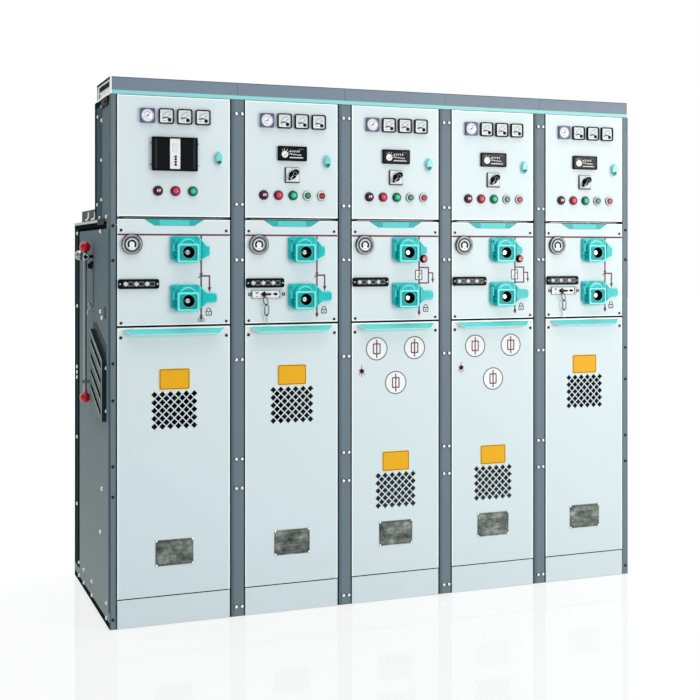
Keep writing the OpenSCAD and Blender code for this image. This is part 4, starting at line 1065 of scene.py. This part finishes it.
for i in range(5):
    b = Build()
    # title shape under the top edge
    b.front(xc(i), 1584.5)
    b.prism([(-80, -12.5), (80, -12.5), (120, 12.2), (-120, 12.2)], -0.15, 0.9, "title", b=0.3)
    b.prism([(-60, -10.8), (60, -10.8), (60, 10.4), (-60, 10.4)], 0.7, 1.15, "title_pale")
    # bus line, feeder line and switch symbols
    b.front(xc(i), 0)
    w = dr(i) - xc(i)
    thin(b, [(-w + 1, 1532.8), (w - 1, 1532.8), (w - 1, 1539.8), (-w + 1, 1539.8)], "mimic")
    x = 108.0
    thin(b, line_outline([(x, 1533), (x, 1206)], 6.6), "mimic", 0.36)
    if i in (2, 3):
        thin(b, line_outline([(x, 1403), (x + 44, 1403), (x + 44, 1337), (x, 1337)], 5.4), "mimic", 0.44)
        o, q = rrect(34, 44, 4, 4, x=x - 2, y=1371), rrect(26, 36, 3, 4, x=x - 2, y=1371)
        b.frame(o, q, -0.15, 0.5, "mimic_grey")
        thin(b, rrect(25.6, 35.6, 3, 4, x=x - 2, y=1371), "white_film", 0.46)
        thin(b, line_outline([(x, 1390), (x, 1352)], 4.6), "mimic", 0.55)
        thin(b, line_outline([(x - 7, 1360), (x + 8, 1380)], 3.0), "mimic", 0.6)
        thin(b, line_outline([(x + 44, 1380), (x + 64, 1380), (x + 64, 1352)], 5.0), "mimic", 0.48)
        thin(b, [(x + 64, 1337), (x + 71, 1354), (x + 57, 1354)], "mimic", 0.52)
    else:
        thin(b, line_outline([(x - 3, 1373), (x + 34, 1373), (x + 34, 1326)], 6.2), "mimic", 0.44)
        thin(b, [(x + 34, 1308), (x + 42, 1328), (x + 26, 1328)], "mimic", 0.48)
        b.frame(circ(6.6, 24, x, 1381), circ(3.6, 24, x, 1381), -0.15, 0.56, "ink_grey")
        thin(b, line_outline([(x - 12, 1364), (x - 3, 1374)], 3.6), "mimic", 0.5)
    # cable end
    thin(b, [(x, 1198), (x + 7.5, 1212), (x, 1226), (x - 7.5, 1212)], "mimic", 0.58)
    if i == 0:
        for t in (-1, 1):
            b.frame(circ(7.4, 24, x + t * 6.5, 1198), circ(4.8, 24, x + t * 6.5, 1198), -0.15, 0.66, "ink")
    # padlock mark: the cover of this hole can be locked
    px, pz = x + 31.0, 1230.0
    b.frame(rrect(25, 19, 3.5, 4, x=px, y=pz - 6), rrect(18.4, 12.4, 2, 4, x=px, y=pz - 6), -0.15, 0.5, "ink")
    thin(b, rrect(3.4, 7.4, 1.4, 3, x=px, y=pz - 6), "ink", 0.5)
    thin(b, move(band_outline(6.4, 9.4, 0, 180, 18), px, pz + 6.5), "ink", 0.5)
    for t in (-1, 1):
        thin(b, rrect(3.0, 4.6, 0.6, 2, x=px + t * 7.9, y=pz + 5.0), "ink", 0.5)
    rim(b, dl(i), dr(i), MECH_Z0, MECH_Z1, 3.6, 3.6, 3.6)
    make(b, "mimic_%d" % (i + 1), "cabinet")

# ------------------------------------------------------------------ cable doors
for i in range(5):
    b = Build()
    feeder = i in (2, 3)
    zy = 586.5 if feeder else 966.5
    rim(b, dl(i), dr(i), CAB_Z0, CAB_Z1, 4.2, 5.6, 0)
    b.front(xc(i), zy)
    b.prism(rrect(124, 84, 7, 6), -0.15, 1.4, "yellow_pale", b=0.5)
    b.frame(rrect(119.6, 79.6, 5, 6), rrect(112, 72, 3.4, 6), 1.2, 1.75, "yellow_edge", b=0.2)
    b.prism(rrect(112.4, 72.4, 3.4, 6), 1.2, 1.6, "yellow")
    b.front(xc(i), 283)
    o = [(-76, -42), (-67, -51), (67, -51), (76, -42), (76, 42), (67, 51), (-67, 51), (-76, 42)]
    b.prism(o, -0.15, 1.6, "nameplate", b=0.6)
    b.frame(inset(o, 5.0), inset(o, 6.4), 1.4, 1.9, "dark_steel")
    for k in range(4):
        b.prism(rrect(124, 1.0, 0.3, 2, y=22 - 15 * k), 1.4, 1.8, "dark_steel")
    b.prism(rrect(1.0, 46, 0.3, 2, x=-6, y=-0.5), 1.4, 1.8, "dark_steel")
    for sx in (-1, 1):
        for sy in (-1, 1):
            b.turn([(5.0, -0.1), (5.0, 2.2), (3.8, 3.6), (0, 4.2)], "zinc", 18, sx * 72.5, sy * 47.5)
    # corner locks
    for x in (dl(i) + 14, dr(i) - 14):
        b.front(x, 1134)
        b.turn([(6.4, -0.1), (6.4, 1.2), (5.4, 2.2), (0, 2.4)], "dark_steel", 24)
        b.prism(move(rrect(9.4, 1.8, 0.6, 3), 0, 0, 35), 2.2, 2.7, "ink")
    if feeder:
        for dx, z in ((-87, 1062), (87, 1062), (0, 917)):
            b.front(xc(i) + dx, z)
            thin(b, circ(46, 60), "white_film", 0.3)
            b.frame(circ(49, 60), circ(44.8, 60), -0.15, 0.6, "mimic_grey")
            b.frame(rrect(35, 46, 5, 5), rrect(25, 36, 3, 5), 0.1, 0.75, "mimic")
            thin(b, line_outline([(0, 38), (0, -38)], 5.4), "mimic", 0.7)
        # fuse state flag
        b.front(dl(i) + 44, 970)
        b.turn([(11, -0.1), (11, 2.2), (10, 3.2), (8.4, 3.4)], "trip_red", 32)
        b.turn([(8.5, 1.0), (8.5, 4.0), (7.0, 5.0), (0, 5.2)], "black_gloss", 30, 0, 1.0)
        thin(b, line_outline([(0, 12), (0, 24)], 2.6), "mimic", 0.5)
        thin(b, line_outline([(0, -12), (0, -24)], 2.6), "mimic", 0.5)
        for t in (-1, 1):
            thin(b, [(t * 9, -14), (t * 15, -8), (t * 13, -17)][::t], "mimic", 0.5)
    # gussets that close the ends of the lip
    for sgn, x0 in ((1, dl(i)), (-1, dr(i))):
        p = [Vector((x0 + sgn * 20.0, YF - 0.2, 1165.4)), Vector((x0 + sgn * 49.0, YF - 0.2, 1141.0)), Vector((x0 + sgn * 49.4, YF - 31.4, 1145.4))]
        b.T = Matrix.Identity(4)
        order = p if sgn > 0 else p[::-1]
        up = (order[1] - order[0]).cross(order[2] - order[0]).normalized() * 0.6
        b.loft([[tuple(q - up) for q in order], [tuple(q + up) for q in order]], "panel")
    # painted highlights on the cut edges of the lip
    b.T = Matrix.Identity(4)
    b.tube([(dl(i) + 50.5, YF - 32.2, 1145.4), (dr(i) - 50.5, YF - 32.2, 1145.4)], 1.3, "lip_edge_painted_highlight", 10)
    for sgn, x0 in ((1, dl(i) + 22.4), (-1, dr(i) - 22.4)):
        b.tube([(x0, YF - 1.2, 1164.6), (x0 + sgn * 28.0, YF - 32.0, 1145.5)], 1.1, "lip_edge_painted_highlight", 10)
    make(b, "cable_door_trim_%d" % (i + 1), "cable_door_%d" % (i + 1))


# ------------------------------------------------------------------ bolts
def bolt(b, r=7.5, h=6.0, mat="zinc", washer=True):
    """Domed bolt, on a washer unless told otherwise, standing on w = 0."""
    if washer:
        b.turn([(r * 1.28, 0), (r * 1.28, h * 0.14), (r * 1.2, h * 0.2), (r * 0.6, h * 0.2)], "zinc_pale", 24)
    b.turn([(r, 0.02), (r, h * 0.3), (r * 0.95, h * 0.55), (r * 0.8, h * 0.78), (r * 0.55, h * 0.93), (r * 0.28, h), (0, h)], mat, 24)


strip_z = (39, 516, 634, 1034, 1436, 1660, 2025)
b = Build()
for i in (1, 2, 3, 4):
    for z in strip_z:
        for t in (-12, 12):
            b.front(bx(i) + 7 + t, z, 3)
            b.turn([(8.6, 0), (8.6, 0.9), (7.2, 1.2)], "dark_steel", 24)
            bolt(b, 7.2, 6.0, washer=False)
for z in (39, 516, 634, 890, 1034, 1435, 1570):
    for x in (XL + 12, XR - 13):
        b.front(x, z, 3)
        b.turn([(6.2, 0.02), (6.2, 1.2), (5.2, 2.0), (4.6, 2.0)], "dark_steel", 20)
        b.turn([(4.7, 0.4), (4.7, 1.6), (0, 1.6)], "ink", 20)
for i in range(5):
    for x in (dl(i) + 15, dr(i) - 15):
        for z in (MECH_Z1 - 44, MECH_Z0 + 11):
            b.front(x, z)
            b.turn([(5.6, 0.02), (5.6, 1.2), (4.6, 2.4), (2.4, 3.0), (0, 3.0)], "dark_steel", 20)
            b.prism(move(rrect(7.2, 1.5, 0.5, 2), 0, 0, 35), 2.6, 3.15, "ink")
for y, z in ((-245, 1552), (353, 1553), (-245, 1228), (-278, 1204), (353, 1228), (361, 955), (361, 931), (361, 908), (-365, 1010), (-365, 841), (361, 640), (361, 340), (-282, 520), (-245, 340)):
    bolt(b.left(y, z), 8.0, 7.0)
for y, z in ((-182, 2019), (-274, 1996), (-268, 1837), (-268, 1678), (-171, 1661), (-229, 1607), (-379, 1607)):
    bolt(b.left(y, z), 6.6, 6.0)
    bolt(b.right(y, z), 6.6, 6.0)
for y in (-380, -35, 175, 310):
    for z in (88, 30):
        bolt(b.left(y, z), 7.0, 6.0)
        bolt(b.right(y, z), 7.0, 6.0)
for y in (-245, 353):
    for z in (1552, 1228, 955, 640, 340):
        bolt(b.right(y, z), 8.0, 7.0)
for i in range(5):
    for x in (bx(i) + 22, bx(i + 1) - 22):
        for z in (100, 580, 1080, 1558):
            bolt(b.back(x, z), 6.0, 6.0)
    for x in (bx(i) + 26, bx(i + 1) - 26):
        for z in (1630, 1840, 2056):
            bolt(b.back(x, z, BOX_Y), 5.0, 4.6)
    for x in (bx(i) + 86, (bx(i) + bx(i + 1)) / 2, bx(i + 1) - 86):
        for y in (BOX_Y + 96, YB - 96):
            bolt(b.up(x, y, BODY_H + 3), 6.5, 5.0)
make(b, "bolts", "cabinet", ["fasteners"])

# ------------------------------------------------------------------ edges of the strips and of the header; the dark lines and bands beside the strips are painted shade, the light bands on the header painted highlights
b = Build()
b.front(0, 0, 3)
for i in (1, 2, 3, 4):
    b.box(bx(i) - 29, bx(i) - 25.0, 2.5, TOP_Z - 0.5, -0.3, 0.4, "black_edge_and_gap_shade", b=0.2)
    b.box(bx(i) - 24.8, bx(i) - 13.0, 2.5, TOP_Z - 0.5, -0.3, 0.3, "strip_painted_shade", b=0.15)
    b.box(bx(i) + 26.4, bx(i) + 29, 2.5, TOP_Z - 0.5, -0.3, 0.4, "side_dark_and_shade", b=0.2)
for x0, x1 in ((XL + 0.2, XL + 3.0), (XL + 22.4, XL + 25), (XR - 29, XR - 26.4), (XR - 3.0, XR - 0.2)):
    b.box(x0, x1, 2.5, TOP_Z - 0.5, -0.3, 0.4, "side_dark_and_shade", b=0.2)
# rubber sealing strips behind the gap over each kick plate, whose black also stands in for the shade in the gap
b.front(0, 0)
for i in range(5):
    b.box(dl(i) + 2, dr(i) - 2, 62, 111.4, -28.8, -27.2, "rubber", b=0.4)
# folded ends and top edge of the header fascia; the light ends are painted highlights
b.front(0, 0)
for x in (XL, XR - 6.5):
    b.box(x + 0.2, x + 6.3, TOP_Z + 0.3, HEAD_Z - 0.4, -0.2, 0.45, "panel_edge_painted_highlight", b=0.3)
b.box(XL + 6.6, XR - 6.6, HEAD_Z - 2.6, HEAD_Z - 0.3, -0.2, 0.4, "side_dark_and_shade", b=0.25)
for k in range(4):
    x = bx(k + 1)
    b.box(x - 0.7, x + 0.7, TOP_Z + 17, HEAD_Z - 4, -0.2, 0.35, "side_dark_and_shade", b=0.2)
for side, x in ((b.left, XL), (b.right, XR)):
    side(0, 0, x)
    u = -1 if side == b.left else 1
    ys = sorted((u * (YF + 3), u * (YF + 299)))
    # light band along the foot of the end plate: painted highlight
    b.box(ys[0], ys[1], TOP_Z - 3.0, TOP_Z + 5.0, 0.05, 0.7, "panel_edge_painted_highlight", b=0.3)
    b.box(ys[0], ys[1], HEAD_Z - 6.5, HEAD_Z - 0.3, -1.4, 0.3, "black_edge_and_gap_shade", b=0.2)
    side(YF + 246, 2100, XL + 3 if side == b.left else XR - 3)
    b.turn([(9, 0.02), (9, 1.4), (7.8, 2.2), (5.8, 2.2), (5.4, 0.9), (0, 0.9)], "dark_steel", 28)
    b.turn([(3.6, 0.8), (3.6, 1.8), (0, 2.2)], "zinc", 18)
    # edge guard round the slot of the end plate
    side(YF + 142, TOP_Z + 41, XL + 3 if side == b.left else XR - 3)
    b.frame(rrect(246, 32, 5, 5), rrect(236.6, 22.6, 3, 5), -2.6, 1.6, "bulkhead", b=0.6)
make(b, "strip_and_header_edges", "cabinet")

# ------------------------------------------------------------------ operating lever
b = Build().up(LEVER_X, LEVER_Y, 0)
rod = [(7.0, LEVER_Z0 + 14), (7.0, LEVER_Z1 - 14)]
b.turn([(0, LEVER_Z0 + 10), (7, LEVER_Z0 + 10), (7, LEVER_Z0 + 70), (7, LEVER_Z1 - 70), (7, LEVER_Z1 - 10), (0, LEVER_Z1 - 10)], "rod", 28)
for z, r, t in ((LEVER_Z1, 23.0, 1), (LEVER_Z0, 22.0, -1)):
    prof = []
    for k in range(25):
        a = math.radians(-90 + 7.5 * k)
        prof.append((max(0.0, r * math.cos(a)), z + r * math.sin(a)))
    prof[0], prof[-1] = (0.0, z - r), (0.0, z + r)
    b.turn(prof, "red_ball", 48)
    zz = z - t * (r + 3)
    b.turn([(7.0, zz - 4), (8.6, zz - 4), (9.2, zz - 3), (9.2, zz + 3), (8.6, zz + 4), (7.0, zz + 4)], "rod", 32)
make(b, "lever", "lever", ["operating_lever"])

# ------------------------------------------------------------------ hardware of the sides
b = Build()
# clip ring, spring knob and hook of the stored lever
b.T = Matrix.Identity(4)
ring_at = Vector((LEVER_X, LEVER_Y - 21.0, 1448.0))
b.tube([(ring_at.x + 10.5 * math.cos(2 * math.pi * k / 36), ring_at.y, ring_at.z + 10.5 * math.sin(2 * math.pi * k / 36)) for k in range(36)], 3.2, "chrome", 12, closed=True)
b.place(tuple(ring_at), (1, 0, 0), (0, 0, 1))
b.turn([(9.0, -5.6), (9.0, 0.6), (0, 0.6)], "black", 28)
b.left(142, 1455)
knob = [(11, 0.1), (11, 7.0)] + [(21.5 * math.cos(math.radians(a)), 26.0 + 21.5 * math.sin(math.radians(a))) for a in range(-60, 90, 10)] + [(0, 47.5)]
b.turn(knob, "bezel", 44)
b.frame(circ(21.9, 44), circ(19.6, 44), 23.6, 28.4, "chrome", b=1.0)
b.left(LEVER_Y + 4, 1414)
b.prism(rrect(24, 32, 4, 5), 0.05, 12, "rubber", b=1.6)
b.prism(rrect(14, 20, 3, 5, y=-3), 11.8, 20, "rubber", b=1.4)
screw(b, 0, 11, 3.2, 2.0, "zinc", 20, w=11.8)
# lever mount plate: the darker plate under it shows along one edge as a painted shadow of the rod
b.left(-41, 1331)
b.prism(rrect(70, 178, 3, 4), 0.05, 1.6, "side_dark_and_shade", b=0.5)
b.prism(rrect(63, 172, 3, 4, x=-1.5), 1.4, 2.2, "side", b=0.4)
b.T = Matrix.Identity(4)
hook = []
for k in range(25):
    a = math.radians(-150 + 300 * k / 24)
    s_ = 1 if k >= 12 else -1
    hook.append((XL - 9.0 + s_ * 0.0 + 6.0 * math.sin(a), 2.0, 1226.0 + 22.0 * (k - 12) / 12.0))
b.tube(hook, 2.4, "hook_pale_and_sheen", 10)
b.left(2, 1250)
b.turn([(3.4, 0.05), (3.4, 10.0), (2.4, 11.2), (0, 11.2)], "zinc", 18)
# slot of the earth lead
b.left(-342, 1228)
b.prism(rrect(40, 42, 14, 7), -0.1, 0.7, "ink")
b.frame(rrect(47, 49, 17, 7), rrect(39.6, 41.6, 13.8, 7), -0.1, 1.8, "side_dark_and_shade", b=0.7)
# painted shadow above the hood, drawn as a black outlet in a darker frame, and painted shade filling the inside of the
# hood; the light lines along its slots and edges are painted highlights
b.left(0, 0)
mouth = [(-y, z) for y, z in ((-368.5, 1042), (-368.5, 1098), (-150, 1172), (-77, 1174), (-77, 1152))]
b.prism(mouth, 0.02, 0.7, "ink")
b.frame(inset(mouth, -4.0), inset(mouth, 0.3), 0.02, 1.6, "side_dark_and_shade", b=0.6)
b.prism([(-y, z) for y, z in ((-80.5, 803), (-365.5, 803), (-365.5, 1035), (-80.5, 1143))][::-1], 0.05, 14.6, "black_edge_and_gap_shade")
for k in range(4):
    a, c = (344.0, 1040 - 3 - 34 - 62 * k), (106.0, 1150 - 22.6 - 34 - 62 * k)
    b.prism(line_outline([a, c], 2.6), 17.8, 20.4, "edge_painted_highlight", b=0.8)
b.prism(line_outline([(367.0, 1040.2), (79.0, 1149.6)], 3.4), 17.6, 19.6, "edge_painted_highlight", b=0.8)
b.prism(line_outline([(366.8, 803), (366.8, 1038)], 2.4), 17.6, 18.8, "edge_painted_highlight", b=0.5)
# J hooks that hold the lifting angle, pale partly as their own colour and partly as painted reflection
for y, foot in ((100, [(-70, 4), (-20, 4), (0, 8), (16, 18), (24, 39), (2, 39), (-6, 23), (-24, 13), (-70, 11)]), (-40, [(-64, 3), (10, 3), (30, 6), (44, 16), (44, 36), (22, 36), (22, 20), (8, 12), (-64, 10)])):
    b.left(y, 1600, XL + 8)
    b.prism(foot, 0.1, 5.0, "hook_pale_and_sheen", b=1.2)
# both sides: dark rear angle, box angle, top bracket, painted shadow under the roof edge with a painted highlight along
# the edge itself, and a painted shadow band under the header end
for side, u, x in ((b.left, -1, XL), (b.right, 1, XR)):
    side(0, 0, x)

    def flat(y0, y1, z0, z1, h, mat, e_=0.4, w0=0.02):
        a, c = sorted((u * y0, u * y1))
        b.box(a, c, z0, z1, w0, h, mat, b=e_)

    flat(306, 402, 62, 1573, 1.4, "dark_edge_and_shade")
    flat(358, 376, 64, 1571, 2.0, "side_dark_and_shade")
    flat(-374, 429, 1560, 1573.6, 0.8, "black_edge_and_gap_shade", 0.2)
    flat(-374, 429, 1588.5, 1599.6, 3.7, "edge_painted_highlight", 0.5, w0=2.6)
    flat(-362, -212, 1577, 1599, 9.0, "black", 1.4)
    flat(-274, -112, 1604, 2079, 1.2, "side_dark_and_shade")
    flat(-148, -111, 1604, 2054, 1.9, "dark_edge_and_shade")
    flat(-436, -111, 2056, 2079.6, 2.2, "dark_edge_and_shade")
    flat(-418, -276, 2042, 2079, 6.0, "black", 1.4)
    flat(-445, 448, 27, 61.6, 0.5, "side", 0.2)
    flat(-444, -420, 62, 1560, 0.8, "side_dark_and_shade", 0.3)
    side(-300, 2048, x)
    b.turn([(7.0, 5.8), (7.0, 8.6), (5.6, 10.2), (0, 10.8)], "bezel", 20)
    side(-372, 2060, x)
    b.turn([(6.0, 5.8), (6.0, 8.6), (4.8, 10.0), (0, 10.4)], "dark_steel", 20)
# pressed louvres low on the right side
for k in range(9):
    b.right(0, 360 + 34 * k)
    b.prism(rrect(300, 15, 7, 6), 0.02, 6.0, "side", b=4.6, n=4)
    b.prism(rrect(284, 3.4, 1.4, 3, y=-9.4), 0.02, 0.7, "ink")
make(b, "side_hardware", "cabinet")

# ------------------------------------------------------------------ back and roof
b = Build()
for i in range(5):
    m = (bx(i) + bx(i + 1)) / 2
    w = bx(i + 1) - bx(i) - 190
    for k in range(10):
        b.back(m, 1188 + 30 * k, YB + 3)
        b.prism(rrect(w, 13, 6, 6), -0.1, 2.9, "rear", b=2.4, n=4)
        b.prism(rrect(w - 16, 3.0, 1.2, 3, y=-8.4), -0.1, 0.6, "ink")
    for k in range(6):
        b.back(m, 200 + 30 * k, YB + 3)
        b.prism(rrect(w, 13, 6, 6), -0.1, 2.9, "rear", b=2.4, n=4)
        b.prism(rrect(w - 16, 3.0, 1.2, 3, y=-8.4), -0.1, 0.6, "ink")
    # lift-off grips of the rear cover
    for sx in (-1, 1):
        b.back(m + sx * (w / 2 - 30), 690, YB + 3)
        b.frame(rrect(76, 26, 12, 7), rrect(64, 14, 6.8, 7), -0.1, 2.8, "black", b=0.8)
        b.prism(rrect(63, 13, 6.4, 7), -0.1, 0.5, "ink")
    # louvres of the instrument box
    for k in range(5):
        b.back(m, 1940 + 26 * k, BOX_Y)
        b.prism(rrect(w - 60, 12, 5.8, 6), -0.1, 5.0, "zinc_sheet", b=3.6, n=4)
        b.prism(rrect(w - 76, 3.0, 1.2, 3, y=-8.0), -0.1, 0.6, "ink")
    # hinge and stiffening beads of the relief flap
    for sx in (-1, 1):
        b.up(m + sx * (w / 4), (BOX_Y + YB) / 2, BODY_H + 3)
        b.prism(rrect(16, 260, 7, 6), -0.1, 3.4, "roof", b=2.8, n=4)
    b.up(m, YB - 74, BODY_H)
    b.place((m, YB - 74, BODY_H + 6.5), (0, 1, 0), (0, 0, 1))
    for k in range(3):
        b.turn([(5.0, -w / 2 + k * w / 3 + 3), (5.0, -w / 2 + (k + 1) * w / 3 - 3), (0, -w / 2 + (k + 1) * w / 3 - 3)], "dark_steel", 18)
make(b, "back_and_roof_details", "cabinet")

# ------------------------------------------------------------------ stage, light
floor_me = bpy.data.meshes.new("floor")
floor_me.from_pydata([(-30, -30, 0), (30, -30, 0), (30, 30, 0), (-30, 30, 0)], [], [(0, 1, 2, 3)])
floor = bpy.data.objects.new("floor", floor_me)
bpy.context.scene.collection.objects.link(floor)
s = Shader("floor_white")
s.link(s.ramp(s.noise(0.6, 2.0), [(0.3, (0.125, 0.125, 0.125, 1)), (0.7, (0.14, 0.14, 0.14, 1))]), s.p.inputs["Base Color"])
s.link(s.span(s.noise(14.0, 2.0), 0.3, 0.7, 0.015, 0.03), s.p.inputs["Roughness"])
s.set(IOR=1.12, Emission_Color=(1.0, 1.0, 1.0, 1.0), Emission_Strength=0.76)
floor_me.materials.append(M["floor_white"])

world = bpy.data.worlds.new("studio")
bpy.context.scene.world = world
world.use_nodes = True
wt = world.node_tree
bg = wt.nodes["Background"]
wsep = wt.nodes.new("ShaderNodeSeparateXYZ")
wt.links.new(wt.nodes.new("ShaderNodeTexCoord").outputs["Generated"], wsep.inputs[0])


def wspan(src, a, b_, lo, hi):
    n = wt.nodes.new("ShaderNodeMapRange")
    n.interpolation_type = "SMOOTHSTEP"
    for k, v in (("From Min", a), ("From Max", b_), ("To Min", lo), ("To Max", hi)):
        n.inputs[k].default_value = v
    wt.links.new(src, n.inputs["Value"])
    return n.outputs["Result"]


def wmix(fac, a, c):
    n = wt.nodes.new("ShaderNodeMix")
    n.data_type = "FLOAT"
    for s_, v in ((n.inputs[0], fac), (n.inputs[2], a), (n.inputs[3], c)):
        if isinstance(v, float):
            s_.default_value = v
        else:
            wt.links.new(v, s_)
    return n.outputs[0]


# white behind the row; in front of it a softer, cooler light that grows from left to right; a bright zenith
behind = wspan(wsep.outputs[1], -0.15, 0.25, 0.0, 1.0)
horizon = wmix(behind, wspan(wsep.outputs[0], -0.9, 0.7, 0.13, 0.70), 1.0)
upper = wmix(wspan(wsep.outputs[2], 0.72, 0.92, 0.0, 1.0), wspan(wsep.outputs[1], -0.4, 0.4, 0.28, 1.30), 1.85)
wt.links.new(wmix(wspan(wsep.outputs[2], 0.30, 0.60, 0.0, 1.0), horizon, upper), bg.inputs["Strength"])
tone = wt.nodes.new("ShaderNodeMix")
tone.data_type = "RGBA"
tone.inputs[6].default_value = (0.945, 0.98, 1.0, 1.0)
tone.inputs[7].default_value = (1.0, 1.0, 1.0, 1.0)
wt.links.new(behind, tone.inputs[0])
wt.links.new(tone.outputs[2], bg.inputs["Color"])


def area(name, loc, aim, size, power, color=(1, 1, 1)):
    d = bpy.data.lights.new(name, "AREA")
    d.shape = "RECTANGLE"
    d.size, d.size_y = size
    d.energy = power
    d.color = color
    o = bpy.data.objects.new(name, d)
    o.location = loc
    o.rotation_euler = (Vector(aim) - Vector(loc)).to_track_quat("-Z", "Y").to_euler()
    bpy.context.scene.collection.objects.link(o)


area("key", (3.5, -5.0, 1.9), (1.0, -0.4, 0.9), (2.6, 2.6), 152.0, (1.0, 0.95, 0.895))
area("fill", (-2.4, -5.4, 3.0), (-0.6, -0.4, 1.6), (2.2, 1.8), 8.0, (0.95, 0.98, 1.0))
area("top", (0.2, -2.0, 5.2), (0.2, -0.6, 0.0), (5.0, 2.6), 60.0)
bpy.context.scene.view_settings.view_transform = "Standard"
